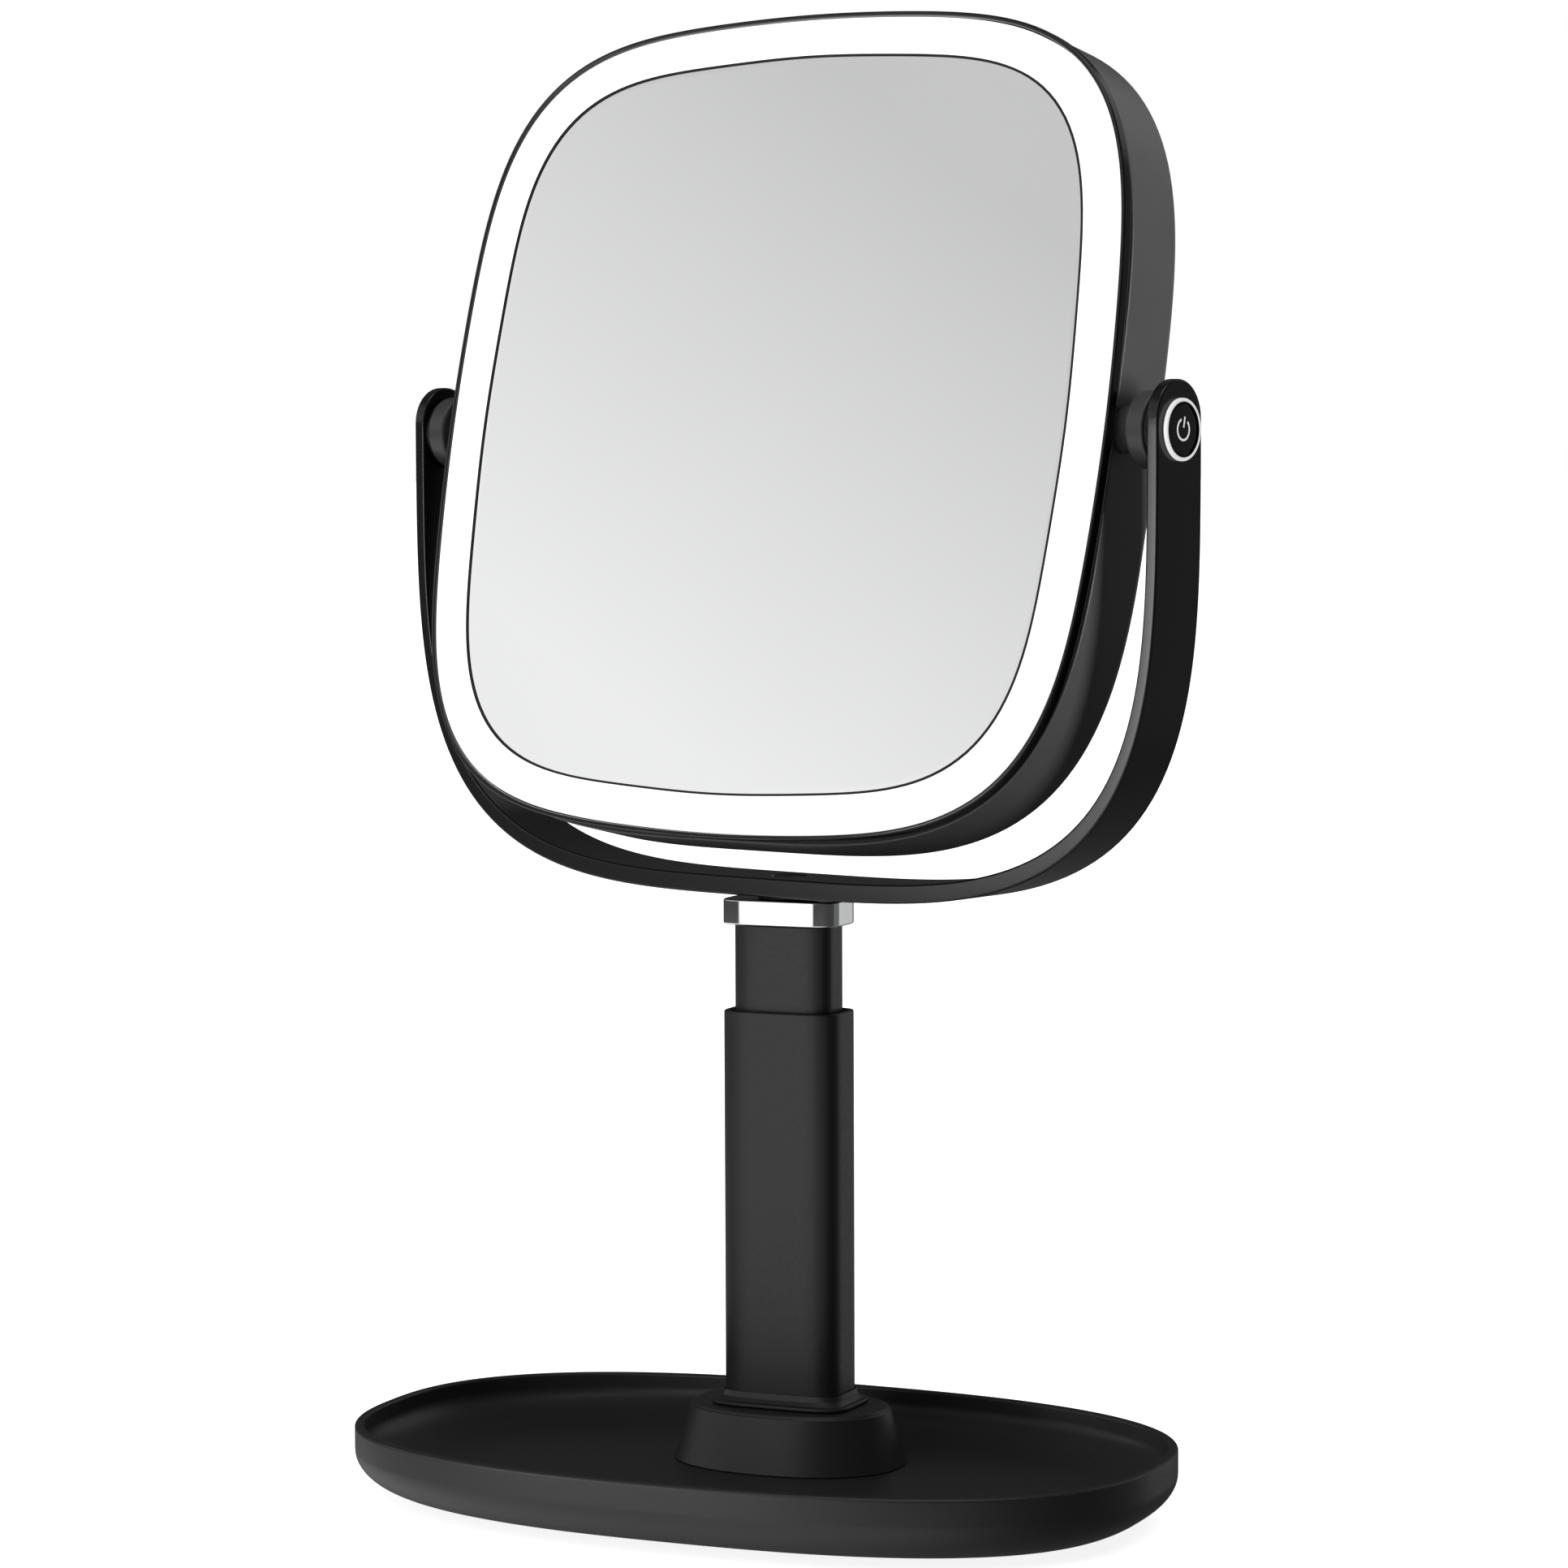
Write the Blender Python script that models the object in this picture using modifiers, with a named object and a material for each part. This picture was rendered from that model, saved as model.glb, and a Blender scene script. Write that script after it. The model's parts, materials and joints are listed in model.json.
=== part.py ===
"""Lighted countertop mirror: a tilting head in a swivelling yoke, on a telescopic column in a tray.

Metres, +Z up, +X along the tray's long side, -Y to the front. The origin is where the
column's axis meets the surface that the mirror stands on.
"""
import math

import bmesh
import bpy
from mathutils import Matrix

# Driving dimensions
GAP = 0.0003

TRAY_HALF = (0.1150, 0.0709)
TRAY_POWER = 2.53
TRAY_CENTRE_Y = -0.0203
TRAY_BEND = (0.0220, 0.0124)
TRAY_WALL = 0.0026
TRAY_DISH = (0.0160, 0.0075)
RIM_HEIGHT = 0.0202
FLOOR_TOP = 0.0086
FLOOR_UNDERSIDE = 0.0064
TRAY_UNDERSIDE = 0.0010
RECESS_INSET = 0.0250
COVER_INSET = 0.0255
PAD_INSET = 0.0290

PAD_THICKNESS = 0.0010
COVER_BOTTOM = 0.0013
COVER_TOP = 0.0026
BALLAST_BOTTOM = 0.0029
BALLAST_TOP = 0.0061
COVER_SCREW_PLACES = ((-0.060, -0.022), (0.060, -0.022), (-0.060, 0.022), (0.060, 0.022))
ANCHOR_SCREW_X = 0.0088
ANCHOR_HOLE = 0.0023
COVER_PILOT_HOLE = 0.0017
COVER_HEAD_HOLE = 0.0031

HUB_FOOT = (0.0328, 0.0237)
HUB_TOP = (0.0277, 0.0184)
HUB_POWER = 2.28
HUB_HEIGHT = 0.0246
HUB_WALL = 0.0022

COLUMN_HALF = (0.01705, 0.01002)
COLUMN_POWER = 5.0
COLUMN_WALL = 0.0014
COLUMN_TOP = 0.1341
ANCHOR_TOP = 0.0330
BUSH_BOTTOM = 0.1055
SPRING_BOTTOM = 0.1085
SPRING_LENGTH = 0.0220
SPRING_HALF_WIDTH = 0.0028
SPRING_THICKNESS = 0.0003
SPRING_BOW = 0.0004

POST_HALF = (0.0143, 0.0076)
POST_WALL = 0.0014
POST_BOTTOM = 0.0600
POST_TOP = 0.1576
COLLAR_HALF = (0.0171, 0.0101)
COLLAR_BOTTOM = 0.1579
COLLAR_TOP = 0.1649

PIVOT_HEIGHT = 0.2930
SWIVEL_ANGLE = -0.2595
TILT_ANGLE = -0.2141

YOKE_OUTER = (0.1285, 0.1271)
YOKE_INNER = (0.1250, 0.1219)
YOKE_POWER = 3.686
YOKE_INNER_POWER = 3.80
YOKE_HALF_WIDTH = 0.0103
YOKE_EDGE = 0.0005
YOKE_STRAIGHT = 0.0028

RING_HALF = (0.1125, 0.1125)
RING_POWER = 3.682
RING_SOFTEN = -0.0035
GLASS_HALF = (0.1005, 0.1019)
GLASS_POWER = 3.947
GLASS_SOFTEN = -0.0048
HOUSING_HALF = (0.1116, 0.1141)
HOUSING_POWER = 3.642
HOUSING_WALL = 0.0022
HOUSING_FRONT = -0.0050
HOUSING_REAR = 0.0178
HOUSING_BEND = 0.0036
RING_FRONT = -0.0114
RING_THICKNESS = 0.0030
REAR_INSIDE = HOUSING_REAR - HOUSING_WALL
GLASS_FRONT = -0.0112
GLASS_THICKNESS = 0.0030
GLASS_BEVEL = 0.0004
MIRROR_PAD_THICKNESS = 0.0008

CARRIER_HALF = (0.0980, 0.0994)
CARRIER_FRONT = -0.0068
CARRIER_PLATE = 0.0020
FLANGE_FRONT = -0.0015
FLANGE_BACK = 0.0005
FLANGE_INSET = 0.0068
BOARD_THICKNESS = 0.0012
HEAD_SCREW_PLACES = [(x, z) for x in (-0.070, 0.070) for z in (-0.072, 0.072)]
HEAD_SCREW_HOLE = 0.0016
LED_LEAD_HOLE = (0.020, -0.1008)
LED_COUNT = 32
INLET_PLACE = (0.0, -0.0840)
CONTROL_BOARD_Y = 0.0070

BOSS_RADIUS = 0.0102
BOSS_START = 0.1178
NECK_RADIUS = 0.0062
SLEEVE_RADIUS = 0.0074
SLEEVE_BORE = 0.0069
ARM_HOLE_RADIUS = 0.00765
STUD_RADIUS = 0.0026
STUD_HOLE_RADIUS = 0.0029
STUD_END = 0.1043
NUT_POCKET = ((0.1012, 0.1110), (-0.0052, 0.0060), (-0.0058, 0.0058))
BUTTON_RADIUS = 0.0066
BUTTON_FACE = 0.1296
BUTTON_SKIRT = 0.0026
BUTTON_STEM = (0.0016, 0.1247)
CAP_RADIUS = 0.0081
CAP_SEAT = YOKE_OUTER[0] + 0.0004
CAP_PLUG_END = 0.1240
BOSS_SHOULDER = YOKE_INNER[0] - 0.0015
WASHER_SPAN = (BOSS_SHOULDER + GAP, YOKE_INNER[0] - GAP)
WASHER_RADII = (0.0077, 0.0096)
WIRE_HOLE = 0.0011
SWITCH_BOARD_SPAN = (0.1208, 0.1218)
SWITCH_BOARD_RADIUS = 0.0063
SWITCH_MIDDLE = 0.12305
SWITCH_SIZE = (0.0019, 0.0060, 0.0060)

SWIVEL_SCREW_RADIUS = 0.0024
SWIVEL_HOLE_RADIUS = 0.0028

HEAD_STEPS = 48
TRAY_STEPS = 48
COLUMN_STEPS = 32
ROUND_STEPS = 24
SCREW_STEPS = 12


def clear_scene():
    for thing in list(bpy.data.objects):
        bpy.data.objects.remove(thing)


def new_collection(name):
    collection = bpy.data.collections.new(name)
    bpy.context.scene.collection.children.link(collection)
    return collection


clear_scene()
PARTS = new_collection("countertop_mirror")
CUTTERS = new_collection("cutters")


def empty(name, place, turn=(0, 0, 0), parent=None):
    """An axis that moving pieces are parented to."""
    axis = bpy.data.objects.new(name, None)
    axis.location = place
    axis.rotation_euler = turn
    axis.parent = parent
    PARTS.objects.link(axis)
    return axis


def material(name, colour, roughness, metallic=0.0, glow=0.0):
    made = bpy.data.materials.new(name)
    made.use_nodes = True
    shader = made.node_tree.nodes["Principled BSDF"]
    shader.inputs["Base Color"].default_value = (*colour, 1.0)
    shader.inputs["Roughness"].default_value = roughness
    shader.inputs["Metallic"].default_value = metallic
    shader.inputs["Emission Color"].default_value = (*colour, 1.0)
    shader.inputs["Emission Strength"].default_value = glow
    return made


def part(name, mesh, finish, parent=None, smooth=True):
    """One named sub-part. finish is (colour, roughness, metallic, glow)."""
    thing = bpy.data.objects.new(name, mesh)
    thing.parent = parent
    PARTS.objects.link(thing)
    if not mesh.materials:
        mesh.materials.append(material(name, *finish))
    if smooth:
        mesh.shade_smooth()
        mesh.set_sharp_from_angle(angle=math.radians(35))
    return thing


def cutter(name, mesh, parent=None):
    thing = bpy.data.objects.new(name, mesh)
    thing.parent = parent
    thing.hide_render = True
    thing.display_type = "WIRE"
    CUTTERS.objects.link(thing)
    return thing


def boolean(thing, tool, operation="DIFFERENCE"):
    modifier = thing.modifiers.new(tool.name, "BOOLEAN")
    modifier.operation = operation
    modifier.solver = "EXACT"
    modifier.object = tool


def mesh_from(name, bm):
    bmesh.ops.recalc_face_normals(bm, faces=bm.faces[:])
    mesh = bpy.data.meshes.new(name)
    bm.to_mesh(mesh)
    bm.free()
    return mesh


# Finishes: colour, roughness, metallic, glow
SATIN_BLACK = ((0.030, 0.030, 0.031), 0.45, 0.0, 0.0)
GLOSS_BLACK = ((0.010, 0.010, 0.011), 0.12, 0.0, 0.0)
CHROME = ((0.86, 0.87, 0.88), 0.06, 1.0, 0.0)
STEEL = ((0.52, 0.53, 0.55), 0.35, 1.0, 0.0)
SILVERED_GLASS = ((0.90, 0.91, 0.92), 0.02, 1.0, 0.0)
LIT_WHITE = ((0.98, 0.98, 0.98), 0.40, 0.0, 1.0)
WHITE_PLASTIC = ((0.82, 0.82, 0.80), 0.50, 0.0, 0.0)
NYLON = ((0.75, 0.73, 0.68), 0.45, 0.0, 0.0)
RUBBER = ((0.035, 0.035, 0.035), 0.85, 0.0, 0.0)
FOAM = ((0.10, 0.10, 0.10), 0.90, 0.0, 0.0)
BOARD_GREEN = ((0.03, 0.16, 0.07), 0.45, 0.0, 0.0)
BOARD_WHITE = ((0.85, 0.85, 0.83), 0.45, 0.0, 0.0)
FOIL = ((0.45, 0.46, 0.48), 0.40, 0.4, 0.0)
LEAD_RED = ((0.45, 0.03, 0.02), 0.50, 0.0, 0.0)
LEAD_WHITE = ((0.70, 0.70, 0.68), 0.50, 0.0, 0.0)
LEAD_RADIUS = 0.0007


def superellipse(half, power, steps, soften=0.0):
    """A rounded-square outline. soften pulls in eight places between the axes."""
    points = []
    for i in range(steps):
        angle = 2 * math.pi * i / steps
        c = math.cos(angle)
        s = math.sin(angle)
        reach = (abs(c) ** power + abs(s) ** power) ** (-1 / power)
        reach *= 1 + soften * (1 - math.cos(8 * angle))
        points.append((half[0] * reach * c, half[1] * reach * s))
    return points


def shrunk(half, inset):
    return (half[0] - inset, half[1] - inset)


def flat_ring(outline, z, centre_y=0.0):
    """An outline laid level at height z."""
    return [(u, v + centre_y, z) for u, v in outline]


def upright_ring(outline, y):
    """An outline standing up, at depth y."""
    return [(u, y, v) for u, v in outline]


def loft(name, rings, closed=False):
    """Skins rings of equal count in order. Open stacks are capped; closed ones join last to first."""
    bm = bmesh.new()
    loops = [[bm.verts.new(point) for point in ring] for ring in rings]
    count = len(loops[0])
    pairs = list(zip(loops, loops[1:]))
    if closed:
        pairs.append((loops[-1], loops[0]))
    for lower, upper in pairs:
        for i in range(count):
            j = (i + 1) % count
            bm.faces.new((lower[i], lower[j], upper[j], upper[i]))
    if not closed:
        bm.faces.new(loops[0])
        bm.faces.new(loops[-1])
    return mesh_from(name, bm)


def slab(name, half, power, bottom, top, steps, centre_y=0.0, edge=0.0):
    """A level plate with a superellipse outline and a small chamfer round its top and bottom."""
    levels = [(0.0, bottom), (0.0, top)]
    if edge:
        levels = [(edge, bottom), (0.0, bottom + edge), (0.0, top - edge), (edge, top)]
    rings = [flat_ring(superellipse(shrunk(half, inset), power, steps), z, centre_y) for inset, z in levels]
    return loft(name, rings)


def sleeve(name, outer, inner, power, bottom, top, steps):
    """A level tube with superellipse walls."""
    walls = [(outer, bottom), (outer, top), (inner, top), (inner, bottom)]
    rings = [flat_ring(superellipse(half, power, steps), z) for half, z in walls]
    return loft(name, rings, closed=True)


def turned(name, profile, steps, finish, parent, closed=True, axis="Z", flip=False):
    """A Screw-modifier turning of a (radius, height) profile that runs down its outer side.

    axis X lays it along +X, or along -X with flip.
    """
    bm = bmesh.new()
    verts = [bm.verts.new((radius, 0, height)) for radius, height in profile]
    for first, second in zip(verts, verts[1:]):
        bm.edges.new((first, second))
    if closed:
        bm.edges.new((verts[-1], verts[0]))
    mesh = bpy.data.meshes.new(name)
    bm.to_mesh(mesh)
    bm.free()
    thing = part(name, mesh, finish, parent, smooth=False)
    screw = thing.modifiers.new("turn", "SCREW")
    screw.steps = steps
    screw.render_steps = steps
    screw.use_merge_vertices = True
    screw.merge_threshold = 0.00001
    screw.use_smooth_shade = True
    if axis == "X":
        thing.rotation_euler = (0, -math.pi / 2 if flip else math.pi / 2, 0)
    return thing


def box_mesh(name, boxes):
    """Separate boxes in one mesh. Each is (centre, size)."""
    bm = bmesh.new()
    for centre, size in boxes:
        made = bmesh.ops.create_cube(bm, size=1.0)["verts"]
        bmesh.ops.scale(bm, vec=size, verts=made)
        bmesh.ops.translate(bm, vec=centre, verts=made)
    return mesh_from(name, bm)


def rods_mesh(name, rods, steps):
    """Separate cones and cylinders in one mesh.

    Each is (start, direction letter, length, radius, end radius).
    """
    turns = {"X": (0, math.pi / 2, 0), "Y": (-math.pi / 2, 0, 0), "Z": (0, 0, 0)}
    bm = bmesh.new()
    for start, letter, length, radius, end_radius in rods:
        made = bmesh.ops.create_cone(
            bm, cap_ends=True, segments=steps, radius1=radius, radius2=end_radius, depth=length
        )["verts"]
        bmesh.ops.translate(bm, vec=(0, 0, length / 2), verts=made)
        for angle, line in zip(turns[letter], "XYZ"):
            bmesh.ops.rotate(bm, cent=(0, 0, 0), matrix=Matrix.Rotation(angle, 3, line), verts=made)
        bmesh.ops.translate(bm, vec=start, verts=made)
    return mesh_from(name, bm)


def lead(name, points, radius, finish, parent):
    """A thin insulated wire along a hand-placed route."""
    curve = bpy.data.curves.new(name, "CURVE")
    curve.dimensions = "3D"
    curve.bevel_depth = radius
    curve.bevel_resolution = 2
    curve.use_fill_caps = True
    spline = curve.splines.new("POLY")
    spline.points.add(len(points) - 1)
    for point, place in zip(spline.points, points):
        point.co = (*place, 1.0)
    curve.materials.append(material(name, *finish))
    thing = bpy.data.objects.new(name, curve)
    thing.parent = parent
    PARTS.objects.link(thing)
    return thing


# ---------------------------------------------------------------- base


def tray_rings():
    """From the recess under the floor, out under the foot, up over the rim and down to the floor."""
    bend_out, bend_up = TRAY_BEND
    dish_in, dish_down = TRAY_DISH
    profile = [
        (RECESS_INSET, FLOOR_UNDERSIDE),
        (RECESS_INSET, TRAY_UNDERSIDE),
    ]
    for i in range(6):
        angle = math.radians(18 * i)
        inset = bend_out * (1 - math.sin(angle))
        profile.append((inset, TRAY_UNDERSIDE + bend_up * (1 - math.cos(angle))))
    profile += [
        (0.0, RIM_HEIGHT - 0.0009),
        (0.0007, RIM_HEIGHT),
        (TRAY_WALL - 0.0006, RIM_HEIGHT),
        (TRAY_WALL, RIM_HEIGHT - 0.0008),
    ]
    for i in range(5):
        angle = math.radians(22.5 * i)
        inset = TRAY_WALL + dish_in * (1 - math.cos(angle))
        profile.append((inset, FLOOR_TOP + dish_down * (1 - math.sin(angle))))
    return [
        flat_ring(superellipse(shrunk(TRAY_HALF, inset), TRAY_POWER, TRAY_STEPS), z, TRAY_CENTRE_Y)
        for inset, z in profile
    ]


def build_base():
    tray = part("tray", loft("tray", tray_rings()), SATIN_BLACK)
    anchor_holes = [
        ((side * ANCHOR_SCREW_X, 0, 0.001), "Z", 0.02, ANCHOR_HOLE, ANCHOR_HOLE) for side in (-1, 1)
    ]
    pilot_holes = [
        ((x, y + TRAY_CENTRE_Y, 0.001), "Z", 0.0068, COVER_PILOT_HOLE, COVER_PILOT_HOLE)
        for x, y in COVER_SCREW_PLACES
    ]
    floor_tool = cutter("floor_holes", rods_mesh("floor_holes", anchor_holes + pilot_holes, SCREW_STEPS))
    boolean(tray, floor_tool)

    part(
        "non_slip_pad",
        slab(
            "non_slip_pad",
            shrunk(TRAY_HALF, PAD_INSET),
            TRAY_POWER,
            0.0,
            PAD_THICKNESS,
            TRAY_STEPS,
            TRAY_CENTRE_Y,
        ),
        RUBBER,
    )

    cover = part(
        "bottom_cover",
        slab(
            "bottom_cover",
            shrunk(TRAY_HALF, COVER_INSET),
            TRAY_POWER,
            COVER_BOTTOM,
            COVER_TOP,
            TRAY_STEPS,
            TRAY_CENTRE_Y,
        ),
        SATIN_BLACK,
    )
    cover_holes = [
        ((x, y + TRAY_CENTRE_Y, 0.0), "Z", 0.004, COVER_HEAD_HOLE, COVER_HEAD_HOLE)
        for x, y in COVER_SCREW_PLACES
    ]
    boolean(cover, cutter("cover_holes", rods_mesh("cover_holes", cover_holes, SCREW_STEPS)))

    ballast = part(
        "ballast_plate",
        slab(
            "ballast_plate",
            shrunk(TRAY_HALF, 0.0265),
            TRAY_POWER,
            BALLAST_BOTTOM,
            BALLAST_TOP,
            TRAY_STEPS,
            TRAY_CENTRE_Y,
        ),
        STEEL,
    )
    through = [
        ((side * ANCHOR_SCREW_X, 0, 0.0020), "Z", 0.0060, ANCHOR_HOLE, ANCHOR_HOLE) for side in (-1, 1)
    ]
    for x, y in COVER_SCREW_PLACES:
        through.append(((x, y + TRAY_CENTRE_Y, 0.0020), "Z", 0.0060, 0.0018, 0.0018))
    recesses = [((side * ANCHOR_SCREW_X, 0, 0.0020), "Z", 0.0030, 0.0040, 0.0040) for side in (-1, 1)]
    boolean(ballast, cutter("ballast_holes", rods_mesh("ballast_holes", through, SCREW_STEPS)))
    boolean(ballast, cutter("ballast_recesses", rods_mesh("ballast_recesses", recesses, SCREW_STEPS)))

    for i, (x, y) in enumerate(COVER_SCREW_PLACES):
        rings = screw_rings(x, y + TRAY_CENTRE_Y, COVER_BOTTOM, 0.0028, 0.0012, 0.0014, 0.0061)
        part(f"cover_screw_{i + 1}", loft("cover_screw", rings), STEEL)
    for i, side in enumerate((-1, 1)):
        rings = screw_rings(side * ANCHOR_SCREW_X, 0, 0.0032, 0.0036, 0.0016, 0.0020, 0.0220)
        part(f"anchor_screw_{i + 1}", loft("anchor_screw", rings), STEEL)

    hub_rings = [
        (HUB_FOOT, HUB_POWER, FLOOR_TOP + GAP),
        ((0.0283, 0.0190), HUB_POWER, HUB_HEIGHT - 0.0017),
        ((0.0278, 0.0185), HUB_POWER, HUB_HEIGHT - 0.0006),
        ((0.0270, 0.0177), HUB_POWER, HUB_HEIGHT),
        (shrunk(COLUMN_HALF, -0.0004), COLUMN_POWER, HUB_HEIGHT),
        (shrunk(COLUMN_HALF, -0.0004), COLUMN_POWER, HUB_HEIGHT - HUB_WALL),
        (shrunk(HUB_TOP, HUB_WALL), HUB_POWER, HUB_HEIGHT - HUB_WALL),
        (shrunk(HUB_FOOT, HUB_WALL), HUB_POWER, FLOOR_TOP + GAP),
    ]
    rings = [flat_ring(superellipse(half, power, COLUMN_STEPS), z) for half, power, z in hub_rings]
    part("hub_cover", loft("hub_cover", rings, closed=True), SATIN_BLACK)

    foot = [
        (shrunk(COLUMN_HALF, -0.0032), HUB_HEIGHT + GAP),
        (shrunk(COLUMN_HALF, -0.0032), HUB_HEIGHT + 0.0012),
        (shrunk(COLUMN_HALF, -0.0016), HUB_HEIGHT + 0.0022),
        (shrunk(COLUMN_HALF, -0.0008), HUB_HEIGHT + 0.0040),
        (shrunk(COLUMN_HALF, -0.0003), HUB_HEIGHT + 0.0040),
        (shrunk(COLUMN_HALF, -0.0003), HUB_HEIGHT + GAP),
    ]
    rings = [flat_ring(superellipse(half, COLUMN_POWER, COLUMN_STEPS), z) for half, z in foot]
    part("column_foot_ring", loft("column_foot_ring", rings, closed=True), SATIN_BLACK)

    inner = shrunk(COLUMN_HALF, COLUMN_WALL)
    column_rings = [
        (COLUMN_HALF, FLOOR_TOP + GAP),
        (COLUMN_HALF, COLUMN_TOP - 0.0004),
        (shrunk(COLUMN_HALF, 0.0003), COLUMN_TOP),
        (inner, COLUMN_TOP),
        (inner, FLOOR_TOP + GAP),
    ]
    rings = [flat_ring(superellipse(half, COLUMN_POWER, COLUMN_STEPS), z) for half, z in column_rings]
    part("column", loft("column", rings, closed=True), SATIN_BLACK)

    anchor_half = shrunk(inner, GAP)
    anchor = part(
        "column_anchor",
        slab("column_anchor", anchor_half, COLUMN_POWER, FLOOR_TOP + GAP, ANCHOR_TOP, COLUMN_STEPS),
        NYLON,
    )
    pilots = [
        ((side * ANCHOR_SCREW_X, 0, FLOOR_TOP - 0.002), "Z", 0.0190, ANCHOR_HOLE, ANCHOR_HOLE)
        for side in (-1, 1)
    ]
    boolean(anchor, cutter("anchor_pilots", rods_mesh("anchor_pilots", pilots, SCREW_STEPS)))

    bush = sleeve(
        "guide_bush",
        anchor_half,
        shrunk(POST_HALF, -0.00025),
        COLUMN_POWER,
        BUSH_BOTTOM,
        COLUMN_TOP - 0.0006,
        COLUMN_STEPS,
    )
    guide = part("guide_bush", bush, NYLON)
    window_size = (0.0030, 2 * SPRING_HALF_WIDTH + 0.0010, SPRING_LENGTH + 0.0010)
    window_height = SPRING_BOTTOM + SPRING_LENGTH / 2
    windows = [((side * anchor_half[0], 0, window_height), window_size) for side in (-1, 1)]
    boolean(guide, cutter("bush_windows", box_mesh("bush_windows", windows)))
    for side, word in ((-1, "left"), (1, "right")):
        part(f"friction_spring_{word}", loft(f"friction_spring_{word}", spring_rings(side)), STEEL)


def spring_rings(side):
    """A bowed leaf spring in the guide bush's window. It rubs on one of the post's narrow sides."""
    near = POST_HALF[0] + 0.00035
    far = near + SPRING_THICKNESS
    steps = 8
    rings = []
    for i in range(steps + 1):
        share = i / steps
        bow = SPRING_BOW * math.sin(math.pi * share)
        z = SPRING_BOTTOM + SPRING_LENGTH * share
        corners = (
            (near + bow, -SPRING_HALF_WIDTH),
            (far + bow, -SPRING_HALF_WIDTH),
            (far + bow, SPRING_HALF_WIDTH),
            (near + bow, SPRING_HALF_WIDTH),
        )
        rings.append([(side * u, v, z) for u, v in corners])
    return rings


def screw_rings(x, y, bottom, head_radius, head_height, shank_radius, shank_length):
    """A screw that is driven upward, as a stack of rings, with a recess left to the fine model."""
    levels = [
        (head_radius * 0.85, bottom),
        (head_radius, bottom + head_height * 0.3),
        (head_radius, bottom + head_height),
        (shank_radius, bottom + head_height),
        (shank_radius, bottom + shank_length - 0.0006),
        (shank_radius * 0.6, bottom + shank_length),
    ]
    return [
        [(x + u, y + v, z) for u, v in superellipse((radius, radius), 2, SCREW_STEPS)] for radius, z in levels
    ]


# ---------------------------------------------------------------- post


def build_post():
    inner = shrunk(POST_HALF, POST_WALL)
    post = sleeve("inner_post", POST_HALF, inner, COLUMN_POWER, POST_BOTTOM, POST_TOP, COLUMN_STEPS)
    part("inner_post", post, SATIN_BLACK)

    plug = shrunk(inner, GAP)
    flange = shrunk(COLUMN_HALF, COLUMN_WALL + 0.0004)
    shoe_levels = [
        (shrunk(flange, 0.0005), POST_BOTTOM - 0.0033),
        (flange, POST_BOTTOM - 0.0028),
        (flange, POST_BOTTOM - GAP),
        (plug, POST_BOTTOM - GAP),
        (plug, POST_BOTTOM + 0.0100),
    ]
    rings = [flat_ring(superellipse(half, COLUMN_POWER, COLUMN_STEPS), z) for half, z in shoe_levels]
    part("post_shoe", loft("post_shoe", rings), NYLON)

    block = part(
        "post_head_block",
        slab("post_head_block", plug, COLUMN_POWER, POST_TOP - 0.0156, POST_TOP - 0.0006, COLUMN_STEPS),
        NYLON,
    )
    bore = ((0, 0, POST_TOP - 0.0200), "Z", 0.0300, SWIVEL_HOLE_RADIUS, SWIVEL_HOLE_RADIUS)
    boolean(block, cutter("block_bore", rods_mesh("block_bore", [bore], SCREW_STEPS)))

    collar = part(
        "chrome_collar",
        slab("chrome_collar", COLLAR_HALF, COLUMN_POWER, COLLAR_BOTTOM, COLLAR_TOP, COLUMN_STEPS, edge=0.0004),
        CHROME,
    )
    boolean(collar, cutter("collar_bore", rods_mesh("collar_bore", [bore], SCREW_STEPS)))


# ---------------------------------------------------------------- yoke


def yoke_sections():
    """Edge-chamfered strap sections, from the left arm's tip round the bottom to the right arm's tip."""
    tip = []
    tip_steps = 6
    for i in range(tip_steps):
        angle = math.radians(82 - 13.6 * i)
        rise = YOKE_STRAIGHT + YOKE_HALF_WIDTH * math.sin(angle)
        tip.append((rise, YOKE_HALF_WIDTH * math.cos(angle)))
    path = []
    for rise, half_width in tip:
        path.append(strap_section((-YOKE_OUTER[0], rise), (-YOKE_INNER[0], rise), half_width))
    bend_steps = 40
    for i in range(bend_steps + 1):
        angle = math.pi + math.pi * i / bend_steps
        outer = on_superellipse(YOKE_OUTER, YOKE_POWER, angle)
        inner = on_superellipse(YOKE_INNER, YOKE_INNER_POWER, angle)
        path.append(strap_section(outer, inner, YOKE_HALF_WIDTH))
    for rise, half_width in reversed(tip):
        path.append(strap_section((YOKE_OUTER[0], rise), (YOKE_INNER[0], rise), half_width))
    return path


def on_superellipse(half, power, angle):
    c = math.cos(angle)
    s = math.sin(angle)
    reach = (abs(c) ** power + abs(s) ** power) ** (-1 / power)
    return (half[0] * reach * c, half[1] * reach * s)


def strap_section(outer, inner, half_width):
    """Eight points round the strap: outer and inner faces joined by chamfered edges."""
    along_x = outer[0] - inner[0]
    along_z = outer[1] - inner[1]
    thickness = math.hypot(along_x, along_z)
    share = YOKE_EDGE / thickness
    edge = min(YOKE_EDGE, half_width * 0.5)
    corners = [
        (1.0, -half_width + edge),
        (1.0, half_width - edge),
        (1.0 - share, half_width),
        (share, half_width),
        (0.0, half_width - edge),
        (0.0, -half_width + edge),
        (share, -half_width),
        (1.0 - share, -half_width),
    ]
    return [(inner[0] + t * along_x, y, inner[1] + t * along_z) for t, y in corners]


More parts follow.
